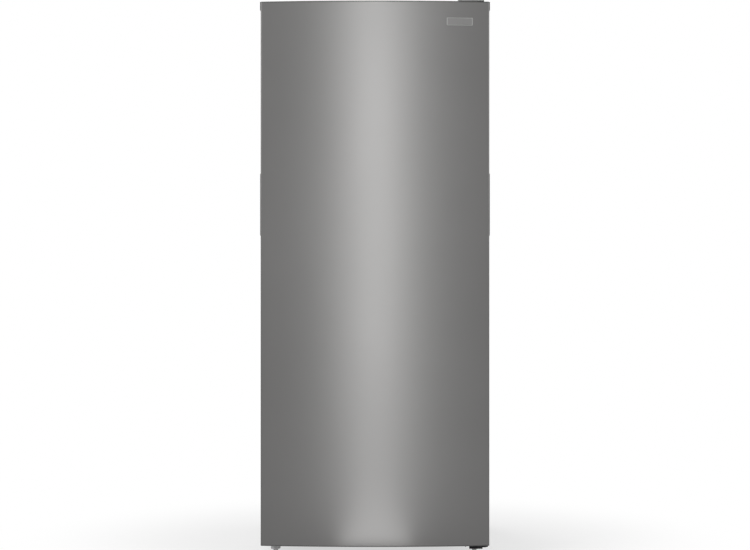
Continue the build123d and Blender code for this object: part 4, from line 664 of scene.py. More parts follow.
@dataclass
class DoorOutside(SubAssembly):
    """Steel face, end caps, finger grips and the bare plate.

    Attributes:
        plan: The door's plan.
        z: Lower and upper end of the door.
        cap: Height of an end cap's edge.
        cap_rows: Rows of (height, inset) of that edge.
        rib: A side rib's inner and outer distance from the door's side.
        rib_depth: How far the ribs reach into the door.
        pin: Place of the hinge's axis along X and Y.
        boss: Radius and height of the boss round a bush.
        stop_x: Place of the stop lug.
        stop_half: Half of the lug's width and depth.
        stop_drop: How far the lug hangs below the door.
        skin: Thickness of the steel face.
        hem: Length of the hem behind the door's edges.
        sheet_levels: Grid lines up the face, which keep its shading even.
        grip_y: Front and back of a finger grip.
        grip_z: Lower and upper end of a grip.
        grip_rim: Width of a grip's rim.
        grip_depth: Depth of a grip's cup.
        grip_proud: How far a grip's rim stands out.
        skirt_y: Front and back of the top cap's side skirts.
        skirt_height: Height of a skirt.
        skirt_proud: How far a skirt stands out.
        plate_x: Middle of the plate along X.
        plate_z: Middle of the plate along Z.
        plate_half: Half of the plate's width and height.
        plate_depth: How far the plate stands out.
    """

    body = "door"
    plan: DoorPlan
    z: Pair = (36.0, 1686.0)
    cap: float = 3.0
    cap_rows: Sequence[Pair] = ((0.0, 0.7), (0.25, 0.25), (0.7, 0.0), (2.8, 0.0), (3.0, 0.15))
    rib: Pair = (3.3, 0.9)
    rib_depth: float = 13.0
    pin: Pair = (319.0, -327.5)
    boss: Pair = (10.0, 20.0)
    stop_x: float = 275.0
    stop_half: Pair = (1.5, 6.0)
    stop_drop: float = 4.5
    skin: float = 0.8
    hem: float = 9.0
    sheet_levels: Sequence[float] = (300.0, 600.0, 850.0, 1350.0, 1550.0)
    grip_y: Pair = (-334.5, -298.5)
    grip_z: Pair = (976.5, 1165.5)
    grip_rim: float = 3.5
    grip_depth: float = 24.0
    grip_proud: float = 1.7
    skirt_y: Pair = (-336.5, -298.5)
    skirt_height: float = 25.0
    skirt_proud: float = 2.0
    plate_x: float = 256.5
    plate_z: float = 1624.0
    plate_half: Pair = (39.5, 12.0)
    plate_depth: float = 1.4

    def steel_face(self) -> None:
        """Bowed sheet with its sides and hems, cut out for the grips."""
        hole_y, hole_z = shrunk(self.grip_y, self.grip_rim), shrunk(self.grip_z, self.grip_rim)
        path = self.plan.path(hole_y, self.hem)
        levels = breaks(self.z[0] + self.cap, self.z[1] - self.cap, [*hole_z, *self.sheet_levels])

        def place(i: int, j: int, side: int) -> Point:
            """Point on the outer or inner face of the sheet."""
            x, y, nx, ny = path[i]
            return (x - nx * self.skin * side, y - ny * self.skin * side, levels[j])

        def keep(i: int, j: int) -> bool:
            """Keeps everything but the two grip holes.

            Args:
                i: The cell's place round the plan.
                j: The cell's place up the door.

            Returns:
                Whether the cell is there.
            """
            x = (abs(path[i][0]) + abs(path[i + 1][0])) / 2
            y, z = (path[i][1] + path[i + 1][1]) / 2, (levels[j] + levels[j + 1]) / 2
            on_side = x > self.plan.half - self.skin / 8
            return not (on_side and hole_y[0] < y < hole_y[1] and hole_z[0] < z < hole_z[1])

        form = Form().sheet(len(path), len(levels), place, keep)
        self.fit(form, "door_steel_face", "door_paint", ["door_skin"])

    def end_cap(self, low: bool) -> None:
        """Moulded cap of one end, with its ribs, bush bosses and skirts or stop lug.

        Args:
            low: True for the bottom cap.
        """
        end, inward = (self.z[0], 1) if low else (self.z[1], -1)
        inner = self.cap - OVERLAP
        form = Form().loft([[(x - nx * inset, y - ny * inset, end + inward * depth)
                             for x, y, nx, ny in self.plan.path()] for depth, inset in self.cap_rows])
        radius, height = self.boss
        for side in (-1, 1):
            rib = mirrored(side, self.plan.half - self.rib[0], self.plan.half - self.rib[1])
            form.slab(rib, self.skirt_y, mirrored(1, end + inward * inner, end + inward * self.rib_depth))
            boss = (side * self.pin[0], self.pin[1], end + inward * inner)
            rows = [(radius, 0), (radius, height - 0.6), (radius - 0.6, height)]
            form.turned(boss, (0, 0, inward), rows, 36, hexagon)
            if not low:
                skirt = mirrored(side, self.plan.half - OVERLAP, self.plan.half + self.skirt_proud)
                form.slab(skirt, self.skirt_y, (end - self.skirt_height, end), 1.0, 0.6)
        if low:
            form.slab(centred(self.stop_half[0], self.stop_x), centred(self.stop_half[1], self.pin[1]),
                      (end - self.stop_drop, end + 0.3), 1.2, 0.5)
        name = "door_bottom_cap" if low else "door_top_cap"
        # The caps take the trim painted darker, as painted shade along the door's ends.
        self.fit(form, name.replace("cap", "moulding"), "trim_painted_shade", [name])

    def grip(self, side: int) -> None:
        """Finger cup with a soft raised rim, drawn in towards its bottom.

        Args:
            side: 1 for the right grip, -1 for the left one.
        """
        half, proud, rim = self.plan.half, self.grip_proud, self.grip_rim
        floor = half - self.grip_depth
        rows = [(floor, rim + 0.4, 3.0), (half - 0.3, rim, 4.0), (half - 0.3, 0.3, 6.0), (half + proud - 0.7, 0.0, 6.0),
                (half + proud - 0.2, 0.3, 6.0), (half + proud, 1.0, 6.0), (half + proud, rim + 0.6, 5.0),
                (half + proud - 0.3, rim + 1.4, 5.0), (half + proud - 1.0, rim + 1.9, 5.0),
                (floor + 9.0, rim + 2.8, 6.0), (floor + 5.5, rim + 3.8, 7.0), (floor + 3.2, rim + 6.0, 7.0),
                (floor + 2.2, rim + 9.0, 5.0)]
        rings = [[(side * x, y, z) for y, z in rounded(shrunk(self.grip_y, inset), shrunk(self.grip_z, inset), r, 6)]
                 for x, inset, r in rows]
        name = "right_grip" if side > 0 else "left_grip"
        # The grips take the trim painted darker, as painted shade in the finger cups.
        self.fit(Form().loft(rings), name + "_cup", "trim_painted_shade", [name])

    def plate(self) -> None:
        """Bare plate that follows the bowed face, with a raised rim round a satin field."""
        lean = self.plate_x / self.plan.bow_radius
        level = math.sqrt(1 - lean**2)
        seat = (self.plate_x, self.plan.face_y(self.plate_x), self.plate_z)

        def ring(depth: float, inset: float, radius: float) -> Ring:
            """Outlines the plate at a height over the door's face.

            Args:
                depth: Height over the face.
                inset: Distance inwards from the plate's edge.
                radius: Radius of the corners.

            Returns:
                The ring.
            """
            outline = rounded(centred(self.plate_half[0] - inset), centred(self.plate_half[1] - inset), radius, 5)
            return [(seat[0] + u * level + depth * lean, seat[1] + u * lean - depth * level, seat[2] + v)
                    for u, v in outline]

        top = self.plate_depth
        rows = [(-0.2, 0.0, 1.6), (top - 0.5, 0.0, 1.6), (top - 0.15, 0.12, 1.5), (top, 0.5, 1.3), (top, 1.7, 1.0),
                (top - 0.2, 2.1, 0.9), (top - 0.6, 2.4, 0.8)]
        self.fit(Form().loft([ring(*row) for row in rows]), "plate_on_door", "badge_silver", ["badge_plate"])
        field = [(top - 0.8, 2.5, 0.8), (top - 0.45, 2.5, 0.8), (top - 0.3, 2.62, 0.7), (top - 0.3, 2.9, 0.6)]
        self.fit(Form().loft([ring(*row) for row in field]), "plate_field", "badge_field")

    def build(self) -> None:
        """Makes every piece of the door's outside."""
        self.steel_face()
        self.end_cap(True)
        self.end_cap(False)
        for side in (-1, 1):
            self.grip(side)
        self.plate()


@dataclass
class DoorInside(SubAssembly):
    """Moulded lining with its dykes, the magnetic gasket and the bins.

    Attributes:
        back: Y of the door's back.
        dyke_half: Half of the width over the dykes.
        dyke_z: Lower and upper end of the dykes.
        dyke_rise: Height of the dykes over the door's back.
        dyke_width: Width of a dyke at its foot.
        draft: How far a dyke's wall comes in per unit of height.
        root: Radius at a dyke's foot.
        tip: Radius at a dyke's top.
        flange_half: Half of the lining's width.
        flange_z: Lower and upper end of the lining.
        bin_half: Half of a bin's width.
        bin_y: A bin's side at the door and its side at the room.
        bin_heights: Height of a bin's wall at the door, at the room and of its lip.
        bin_lean: How far the side at the room comes in at the floor.
        bin_wall: Thickness of the bins' walls.
        lug_y: Y of the lugs that carry the bins.
        lug_rise: Height of a lug's lower end over the bin's floor.
        lug_height: Height of a lug.
        lug_half: Half of a lug's depth.
        saddle_half: Half of the width over a bin's saddles.
        saddle_reach: A saddle's inner and outer reach from the lug's middle.
        saddle_top: How far a saddle rises over its lug.
        bin_levels: Heights of the bins' floors.
        gasket_half: Half of the gasket's width.
        gasket_z: Lower and upper end of the gasket.
    """

    body = "door"
    back: float = -293.5
    dyke_half: float = 263.0
    dyke_z: Pair = (124.0, 1598.0)
    dyke_rise: float = 44.0
    dyke_width: float = 30.0
    draft: float = 0.0875
    root: float = 6.0
    tip: float = 8.0
    flange_half: float = 338.0
    flange_z: Pair = (39.0, 1683.0)
    bin_half: float = 226.5
    bin_y: Pair = (-292.5, -185.5)
    bin_heights: tuple[float, float, float] = (60.0, 88.0, 92.5)
    bin_lean: float = 9.0
    bin_wall: float = 2.5
    lug_y: float = -273.5
    lug_rise: float = 18.0
    lug_height: float = 28.0
    lug_half: float = 6.0
    saddle_half: float = 232.7
    saddle_reach: Pair = (6.4, 9.3)
    saddle_top: float = 3.3
    bin_levels: Sequence[float] = (190.0, 482.0, 774.0, 1066.0, 1358.0)
    gasket_half: float = 322.0
    gasket_z: Pair = (61.0, 1661.0)

    def lining_ring(self, inset: float, height: float, radius: float) -> Ring:
        """Ring of the lining, inset from the dyke's outer root and raised from the door's back."""
        x, z = centred(self.dyke_half - inset), shrunk(self.dyke_z, inset)
        return [(u, self.back + height, v) for u, v in rounded(x, z, radius, 8)]

    def lining(self) -> None:
        """Lining from its flange over the dykes to the panel between them, with the lugs for the bins."""
        flange = rounded(centred(self.flange_half), self.flange_z, 2.0, 8)
        rings = [[(u, self.back - 2.0, v) for u, v in flange], [(u, self.back, v) for u, v in flange]]
        wall = self.dyke_rise - self.tip
        inner = self.dyke_width - self.dyke_rise * self.draft
        rows = [(-self.root, 0.0, 30.0), (-self.root * 0.5, self.root * 0.13, 27.0),
                (-self.root * 0.13, self.root * 0.5, 26.0), (self.root * self.draft, self.root, 25.0),
                (wall * self.draft, wall, 22.0)]
        for share in (0.15, 0.35, 0.6, 1.0):
            angle = share * math.pi / 2
            rows.append((wall * self.draft + self.tip * (1 - math.cos(angle)), wall + self.tip * math.sin(angle),
                         20.0 - 4 * share))
        for share in (1.0, 0.6, 0.35, 0.15, 0.0):
            angle = share * math.pi / 2
            rows.append((inner - self.tip * (1 - math.cos(angle)), wall + self.tip * math.sin(angle), 20.0))
        low = self.dyke_width - self.root * self.draft
        rows += [(low, self.root, 12.0), (low + self.root * 0.2, self.root * 0.5, 11.0),
                 (low + self.root * 0.5, self.root * 0.13, 10.0), (low + self.root, 0.0, 9.0),
                 (low + 22.0, 0.0, 9.0), (low + 24.0, -0.8, 9.0), (low + 26.0, -0.8, 9.0)]
        form = Form().loft(rings + [self.lining_ring(*row) for row in rows])
        inside = self.dyke_half - self.dyke_width
        for level in self.bin_levels:
            for side in (-1, 1):
                z = (level + self.lug_rise, level + self.lug_rise + self.lug_height)
                form.slab(mirrored(side, inside - 5.0, inside + 4.0), centred(self.lug_half, self.lug_y), z, 2.5, 1.2)
        self.fit(form, "door_lining", "liner_white", ["door_liner"])

    def gasket(self) -> None:
        """Gasket with its bellows and hollow head, swept round the door."""
        section = [(0.0, 0.0), (0.0, 2.4), (0.5, 3.0), (1.8, 3.4), (0.7, 4.6), (0.5, 5.4), (1.4, 6.8), (2.2, 7.6),
                   (1.5, 8.8), (1.3, 10.0), (1.5, 12.8), (2.4, 13.7), (9.0, 13.7), (15.6, 13.7), (16.5, 12.8),
                   (16.7, 10.0), (16.5, 8.8), (15.8, 7.6), (16.6, 6.8), (17.5, 5.4), (17.3, 4.6), (16.2, 3.4),
                   (17.5, 3.0), (18.0, 2.4), (18.0, 0.0)]
        rings = [[(u, self.back + height, v) for u, v in
                  rounded(centred(self.gasket_half - inset), shrunk(self.gasket_z, inset), 1.0 + (18.0 - inset) / 9, 4)]
                 for inset, height in section]
        self.fit(Form().loft(rings, cyclic=True), "door_seal", "gasket_grey", ["door_gasket"])

    def bin_top(self, y: float) -> float:
        """Height of a bin's edge over its floor, low at the back and rising to the front.

        Args:
            y: Where along the bin's side.

        Returns:
            The height.
        """
        back, shoulder, _ = self.bin_heights
        start, end = self.lug_y + 12.0, self.bin_y[1] - 14.0
        share = min(max((y - start) / (end - start), 0.0), 1.0)
        return back + (shoulder - back) * share * share * (3 - 2 * share)

    def bin_ring(self, level: float, rise: float, inset: float, radius: float, extra: float = 0.0) -> Ring:
        """Outline of a bin at a share of its wall's height.

        Args:
            level: The bin's floor.
            rise: Share of the height, from 0 to 1.
            inset: Distance inwards from the outer face.
            radius: Radius of the corners.
            extra: Height added over the whole ring.

        Returns:
            The ring.
        """
        y = (self.bin_y[0] + inset, self.bin_y[1] - self.bin_lean * (1 - rise) - inset)
        return [(u, v, level + extra + rise * (self.bin_top(v) - extra))
                for u, v in rounded(centred(self.bin_half - inset), y, radius, 7)]

    def bin(self, number: int, level: float) -> None:
        """One bin with a soft base, a pressed band, a rolled edge, a front lip and two saddles.

        Args:
            number: The bin's number from the bottom.
            level: Height of its floor.
        """
        wall = self.bin_wall
        outer = [(0.0, 7.0, 8.0, 0.0), (0.0, 2.4, 11.0, 0.5), (0.0, 0.7, 13.0, 2.2), (0.03, 0.0, 14.0, 3.5),
                 (0.30, 0.0, 14.0, 0.0), (0.32, 0.6, 14.0, 0.0), (0.70, 0.6, 14.0, 0.0), (0.72, 0.0, 14.0, 0.0),
                 (0.95, 0.0, 14.0, 0.0), (0.965, -0.7, 14.5, 0.0), (0.99, -0.7, 14.5, 0.0), (1.0, 0.0, 14.0, 0.0),
                 (1.0, wall - 0.6, 12.0, 0.0), (0.99, wall, 11.5, 0.0), (0.06, wall, 11.5, 0.0),
                 (0.0, wall + 1.2, 9.0, wall + 1.2), (0.0, wall + 5.0, 7.0, wall)]
        form = Form().loft([self.bin_ring(level, rise, inset, radius, extra) for rise, inset, radius, extra in outer])
        _, shoulder, lip = self.bin_heights
        form.slab(centred(self.bin_half - 14.0), (self.bin_y[1] - wall, self.bin_y[1]),
                  (level + shoulder - 1.0, level + lip), 1.2, 1.0)
        for side in (-1, 1):
            x = mirrored(side, self.bin_half - 0.6, self.saddle_half)
            z = (level + self.lug_rise, level + self.lug_rise + self.lug_height + self.saddle_top)
            near, far = self.saddle_reach
            for y in ((self.lug_y - far, self.lug_y - near), (self.lug_y + near, self.lug_y + far)):
                form.slab(x, y, z, 1.0, 0.5)
            form.slab(x, centred(far, self.lug_y), (z[1] - (far - near), z[1]), 1.0, 0.5)
        self.fit(form, f"clear_bin_{number}", "bin_plastic", [f"door_bin_{number}"])

    def build(self) -> None:
        """Makes every piece of the door's inside."""
        self.lining()
        self.gasket()
        for number, level in enumerate(self.bin_levels, start=1):
            self.bin(number, level)


@dataclass
class CabinetOutside(SubAssembly):
    """Painted wrapper, back sheet and the louvred cover over the machine compartment.

    Attributes:
        half: Half of the cabinet's width.
        y: Front and back of the cabinet.
        z: Lower and upper end of the cabinet.
        skin: Thickness of the wrapper.
        flange: Width that is turned in round the front.
        edge: Radius of the wrapper's edges.
        machine_half: Half of the machine compartment's width.
        machine_top: Top of the machine compartment.
        cover_y: Inner and outer face of the louvred cover.
        louvre_x: Middles of the slots along X.
        louvre_half: Half of a slot's length and height.
        louvre_rows: Middles of the slots along Z.
        gland: Middle of the hole for the cord's bush along X and Z.
        gland_half: Half of that hole's size.
        side_levels: Grid lines up the sides, which keep their shading even.
        top_half: Place of the grid lines on the top.
        sheet: Thickness of the back sheet and the cover.
        panels: Sides and ends of each pressed panel.
        press_slope: Width of a panel's slope.
        press_depth: Depth of a panel.
    """

    half: float = 347.0
    y: Pair = (-279.5, 363.5)
    z: Pair = (44.0, 1688.0)
    skin: float = 0.8
    flange: float = 45.0
    edge: float = 2.2
    machine_half: float = 323.0
    machine_top: float = 242.0
    cover_y: Pair = (357.5, 358.5)
    louvre_x: Sequence[float] = (-170.0, 0.0, 170.0)
    louvre_half: Pair = (60.0, 3.0)
    louvre_rows: Sequence[float] = (88.0, 115.5, 143.0, 170.5, 198.0)
    gland: Pair = (-292.0, 143.0)
    gland_half: float = 11.0
    side_levels: Sequence[float] = (500.0, 1100.0)
    top_half: float = 200.0
    sheet: float = 1.0
    panels: Sequence[tuple[Pair, Pair]] = (((-300.0, -14.0), (300.0, 1630.0)), ((14.0, 300.0), (300.0, 1630.0)))
    press_slope: float = 5.0
    press_depth: float = 0.9

    def wrapper(self) -> None:
        """Sheet bent over the sides and top, turned in round the front."""

        def arch(y: float, inset: float) -> Ring:
            """Follows the sides and the top, open at the bottom.

            Args:
                y: Depth of the ring.
                inset: Distance inwards from the outer face.

            Returns:
                The ring.
            """
            side, top, r = self.half - inset, self.z[1] - inset, max(self.edge - inset, 0.4)
            right = [(side, z) for z in (self.z[0], *self.side_levels)]
            right += [row[:2] for row in arc((side - r, top - r), r, 0, 90, 6)]
            left = [(-x, z) for x, z in reversed(right)]
            return [(x, y, z) for x, z in right + [(self.top_half, top), (-self.top_half, top)] + left]

        front, back, edge = self.y[0], self.y[1], self.edge
        rows = [(front + self.skin, self.flange), (front, self.flange)]
        for i in range(6):
            angle = math.pi / 2 * i / 5
            rows.append((front + edge * (1 - math.sin(math.pi / 2 - angle)), edge * (1 - math.sin(angle))))
        rows += [(back - 0.3, 0.0), (back, 0.25), (back, self.skin), (front + edge, self.skin),
                 (front + self.skin, edge)]
        form = Form().loft([arch(*row) for row in rows], closed=False, cyclic=True)
        self.fit(form, "painted_wrapper", "cabinet_paint", ["cabinet_wrapper"])

    def back_sheet(self) -> None:
        """Back sheet with two pressed panels, cut out for the machine compartment."""
        side, top = self.half - self.skin, self.z[1] - self.skin
        slope = self.press_slope
        edges = [[e + s for panel in self.panels for e in panel[axis] for s in (0, slope, -slope)] for axis in (0, 1)]
        xs = breaks(-side, side, [*edges[0], self.machine_half, -self.machine_half])
        zs = breaks(self.z[0], top, [*edges[1], self.machine_top])

        def pressed(x: float, z: float) -> float:
            """Depth of the pressing at a place.

            Args:
                x: The place's X.
                z: The place's Z.

            Returns:
                The depth, 0 outside the panels.
            """
            inside = max(min(x - x0, x1 - x, z - z0, z1 - z) for (x0, x1), (z0, z1) in self.panels)
            return self.press_depth * min(max(inside / slope, 0.0), 1.0)

        def place(i: int, j: int, layer: int) -> Point:
            """Point on the outer or inner face."""
            return (xs[i], self.y[1] - pressed(xs[i], zs[j]) - layer * self.sheet, zs[j])

        def keep(i: int, j: int) -> bool:
            """Everything outside the machine compartment's opening."""
            return not (abs(xs[i] + xs[i + 1]) / 2 < self.machine_half and zs[j + 1] <= self.machine_top)

        self.fit(Form().sheet(len(xs), len(zs), place, keep), "pressed_back", "zinc_steel", ["cabinet_back"])

    def rear_cover(self) -> None:
        """Cover with air slots, each under a pressed hood."""
        slots = [(centred(self.louvre_half[0], x), centred(self.louvre_half[1], z))
                 for x in self.louvre_x for z in self.louvre_rows]
        openings = slots + [tuple(centred(self.gland_half, at) for at in self.gland)]
        xs = breaks(-self.machine_half, self.machine_half, [e for o in openings for e in o[0]])
        zs = breaks(self.z[0], self.machine_top, [e for o in openings for e in o[1]])

        def place(i: int, j: int, layer: int) -> Point:
            """Point on the outer or inner face."""
            return (xs[i], self.cover_y[1] - layer * self.sheet, zs[j])

        def keep(i: int, j: int) -> bool:
            """Everything outside the slots and the cord bush's hole."""
            x, z = (xs[i] + xs[i + 1]) / 2, (zs[j] + zs[j + 1]) / 2
            return not any(a[0] < x < a[1] and b[0] < z < b[1] for a, b in openings)

        form = Form().sheet(len(xs), len(zs), place, keep)
        for (x0, x1), (z0, z1) in slots:
            rings = []
            for share, reach in ((0.0, 0.05), (0.02, 0.5), (0.06, 0.85), (0.12, 1.0), (0.88, 1.0), (0.94, 0.85),
                                 (0.98, 0.5), (1.0, 0.05)):
                x = x0 - 2 + (x1 - x0 + 4) * share
                hood = [(a, b) for a, b in ((-0.6, z1 + 3.0), (0.9, z1 + 2.6), (2.6, z1 - 0.5), (3.6, z0 + 0.5),
                                            (3.0, z0 + 0.3), (1.9, z1 - 0.9), (0.2, z1 + 1.6), (-0.6, z1 + 2.0))]
                rings.append([(x, self.cover_y[1] + (a * reach if a > 0 else a), b) for a, b in hood])
            form.loft(rings)
        self.fit(form, "louvred_cover", "zinc_steel", ["rear_cover"])

    def build(self) -> None:
        """Makes every piece of the cabinet's outside."""
        self.wrapper()
        self.back_sheet()
        self.rear_cover()


@dataclass
class Cavity(SubAssembly):
    """Moulded lining of the cold room with its ledges, and the wire shelves on them.

    Attributes:
        half: Half of the cold room's width.
        y: Mouth and back wall of the cold room.
        z: Floor and ceiling of the cold room.
        corner: Radius of its corners.
        step_y: Front of the step over the machine compartment.
        step_z: Top of the step.
        step_foot: Radius at the foot of the step.
        step_nose: Radius at the top of the step.
        fillet: Radius along the back wall.
        wall: Thickness of the lining.
        flange_half: Half of the width of the flange round the mouth.
        flange_z: Lower and upper end of that flange.
        shelf_levels: Tops of the shelves.
        ledge_drop: How far the ledges lie below the tops of the shelves.
        shelf_y: Front and back of a shelf.
        shelf_half: Half of a shelf's width.
        wire: Radius of a shelf's wires.
        rail: Radius of a shelf's cross rods.
        wires: Number of wires in a shelf.
    """

    half: float = 285.0
    y: Pair = (-279.5, 301.5)
    z: Pair = (104.0, 1623.0)
    corner: float = 24.0
    step_y: float = 129.5
    step_z: float = 294.0
    step_foot: float = 12.0
    step_nose: float = 14.0
    fillet: float = 20.0
    wall: float = 2.0
    flange_half: float = 302.0
    flange_z: Pair = (102.0, 1643.0)
    shelf_levels: Sequence[float] = (380.0, 780.0, 1180.0)
    ledge_drop: float = 8.8
    shelf_y: Pair = (-151.5, 198.5)
    shelf_half: float = 283.0
    wire: float = 1.7
    rail: float = 2.7
    wires: int = 29

    def room_ring(self, y: float, floor: float, inset: float) -> Ring:
        """Ring of the cold room at a depth, with its own floor level."""
        x, z = centred(self.half - inset), (floor + inset, self.z[1] - inset)
        return [(u, y, v) for u, v in rounded(x, z, max(self.corner - inset * 0.6, 6.0), 8)]

    def profile(self) -> list[tuple[float, float, float, float, float, float]]:
        """Follows the room from its mouth over the step to the back wall.

        Returns:
            Rows of y, floor and inset, and the shares of the wall's thickness that lie behind, under and beside them.
        """
        front, back = self.y
        foot, nose = self.step_foot, self.step_nose
        quarter = [(math.sin(math.pi / 12 * i), math.cos(math.pi / 12 * i)) for i in range(7)]
        rows = [(front + 1.2, self.z[0], 0.0, 0.0, 0.0, 1.0), (front + 60.0, self.z[0], 0.0, 0.0, 0.0, 1.0)]
        rows += [(self.step_y - foot + foot * s, self.z[0] + foot * (1 - c), 0.0, s, 1 - c, 1.0) for s, c in quarter]
        rows += [(self.step_y + nose * (1 - c), self.step_z - nose + nose * s, 0.0, c, 1 - s, 1.0) for s, c in quarter]
        rows += [(back - self.fillet * (1 - s), self.step_z, self.fillet * (1 - c), s, 0.0, c) for s, c in quarter]
        return rows + [(back, self.step_z, self.fillet + 3.0, 1.0, 0.0, 0.0)]

    def lining(self) -> None:
        """Cold room drawn in one piece, with the step over the machine compartment."""
        front, wall = self.y[0], self.wall
        rows = self.profile()
        flange = rounded(centred(self.flange_half), self.flange_z, 1.5, 8)
        mouth = [(u, front, v) for u, v in
                 rounded(centred(self.half + 1.0), (self.z[0] - 1.0, self.z[1] + 1.0), self.corner + 1, 8)]
        seen = [[(u, front + wall, v) for u, v in flange], [(u, front, v) for u, v in flange], mouth]
        seen += [self.room_ring(*row[:3]) for row in rows]
        hidden = [self.room_ring(max(y + wall * back, front + wall), floor + wall * lift, inset - wall * side)
                  for y, floor, inset, back, lift, side in rows]
        form = Form()
        for rings in (seen, [seen[0], *hidden]):
            form.loft(rings, caps=False)
            form.faces.append(tuple(range(len(form.points) - len(mouth), len(form.points))))
        for level in self.shelf_levels:
            for side in (-1, 1):
                self.ledge(form, level - self.ledge_drop, side)
        self.fit(form, "cold_room_lining", "liner_white", ["cabinet_liner"])

    def ledge(self, form: Form, top: float, side: int) -> None:
        """Adds one ledge with rounded ends to the lining.

        Args:
            form: The lining's form.
            top: Height of the ledge's top.
            side: 1 for the right wall, -1 for the left one.
        """
        rings = []
        for y, reach in ((-163.5, 1.0), (-161.5, 5.0), (-158.0, 8.5), (-153.0, 10.6), (-147.0, 11.0), (186.0, 11.0),
                         (192.0, 10.2), (196.5, 7.5), (198.5, 1.0)):
            profile = [(-1.0, 0.0), (reach - 0.8, 0.0), (reach, -0.8), (reach, -6.5), (reach - 0.8, -8.4),
                       (-1.0, -15.0)]
            rings.append([(side * (self.half - a), y, top + b) for a, b in profile])
        form.loft(rings)

    def shelf(self, number: int, level: float) -> None:
        """One welded shelf: wires from front to back on three cross rods.

        Args:
            number: The shelf's number from the bottom.
            level: Height of its top.
        """
        form = Form()
        wire_z, rod_z = level - self.wire, level - 2 * self.wire - self.rail
        for y in (self.shelf_y[0] + self.rail, sum(self.shelf_y) / 2, self.shelf_y[1] - self.rail):
            form.rod((-self.shelf_half, y, rod_z), (self.shelf_half, y, rod_z), self.rail, 14)
        for x in evenly(self.wires, self.shelf_half - 11.0):
            form.rod((x, self.shelf_y[0], wire_z), (x, self.shelf_y[1], wire_z), self.wire, 10)
        self.fit(form, f"coated_shelf_{number}", "wire_white", [f"wire_shelf_{number}"])

    def build(self) -> None:
        """Makes the lining and the shelves."""
        self.lining()
        for number, level in enumerate(self.shelf_levels, start=1):
            self.shelf(number, level)


@dataclass
class AirCover(SubAssembly):
    """Moulded cover of the evaporator bay, with its outlets, fan grille and return slots.

    Attributes:
        half: Half of the cover's width.
        y: Front and back of the cover.
        z: Lower and upper end of the cover.
        wall: Thickness of the cover.
        corner: Radius of its upright edges.
        outlet_x: Middles of the outlets.
        outlet_half: Half of an outlet's length.
        outlet_z: Lower edges of the outlets.
        slot: Width of every slot.
        grille_z: Height of the fan grille's middle.
        grille_radius: Radius of the grille.
        grille_slots: Number of slots in the grille.
        intake_half: How far the return slots reach to each side.
        intake_z: Lower and upper end of the return slots.
        intake_slots: Number of return slots.
        ring: Rows of (radius, height) of the ring round the grille.
    """

    half: float = 235.0
    y: Pair = (235.5, 301.5)
    z: Pair = (372.0, 1532.0)
    wall: float = 2.5
    corner: float = 7.0
    outlet_x: Sequence[float] = (-140.0, 140.0)
    outlet_half: float = 31.0
    outlet_z: Sequence[float] = (550.0, 564.0, 950.0, 964.0, 1350.0, 1364.0)
    slot: float = 6.0
    grille_z: float = 1245.0
    grille_radius: float = 60.0
    grille_slots: int = 7
    intake_half: float = 170.0
    intake_z: Pair = (392.0, 426.0)
    intake_slots: int = 9
    ring: Sequence[Pair] = ((64.0, 0.0), (64.5, 1.4), (65.5, 2.2), (68.5, 2.2), (69.5, 1.4), (70.0, 0.0))

    def openings(self) -> list[tuple[Pair, Pair]]:
        """Lists the outlets, the fan grille's slots and the return slots.

        Returns:
            The (low, high) pairs of each opening along X and Z.
        """
        cut = [(centred(self.outlet_half, x), (z, z + self.slot)) for x in self.outlet_x for z in self.outlet_z]
        for rise in evenly(self.grille_slots, self.grille_radius - self.slot):
            width = math.sqrt(self.grille_radius**2 - rise**2)
            cut.append((centred(width), centred(self.slot / 2, self.grille_z + rise)))
        return cut + [(centred(self.slot / 2, x), self.intake_z) for x in evenly(self.intake_slots, self.intake_half)]

    def build(self) -> None:
        """Makes the cover with its two ends and a ring round the grille."""
        cut = self.openings()
        xs = breaks(-self.half + self.corner, self.half - self.corner, [e for c in cut for e in c[0]])
        zs = breaks(self.z[0], self.z[1], [e for c in cut for e in c[1]])
        right = arc((self.half - self.corner, self.y[0] + self.corner), self.corner, -90, 0, 7)[1:]
        right.append((self.half, self.y[1], 1.0, 0.0))
        path = [(-x, y, -nx, ny) for x, y, nx, ny in reversed(right)]
        path += [(x, self.y[0], 0.0, -1.0) for x in xs] + right

        def place(i: int, j: int, side: int) -> Point:
            """Point on the outer or inner face of the wall."""
            x, y, nx, ny = path[i]
            return (x - nx * self.wall * side, y - ny * self.wall * side, zs[j])

        def keep(i: int, j: int) -> bool:
            """Keeps everything outside the openings.

            Args:
                i: The cell's place along the plan.
                j: The cell's place up the cover.

            Returns:
                Whether the cell is there.
            """
            x, z = (path[i][0] + path[i + 1][0]) / 2, (zs[j] + zs[j + 1]) / 2
            flat = path[i][1] == path[i + 1][1] == self.y[0]
            return not (flat and any(a[0] < x < a[1] and b[0] < z < b[1] for a, b in cut))

        form = Form().sheet(len(path), len(zs), place, keep)
        for z in (self.z[0] + 1.0, self.z[1] - self.wall - 1.0):
            outline = [(x - nx, y - ny) for x, y, nx, ny in path]
            form.loft([[(x, y, z + rise) for x, y in outline] for rise in (0.0, self.wall)])
        centre = (0.0, self.y[0] + 0.5, self.grille_z)
        form.turned(centre, (0, -1, 0), self.ring, 64)
        self.fit(form, "air_cover", "liner_white", ["evaporator_cover"])


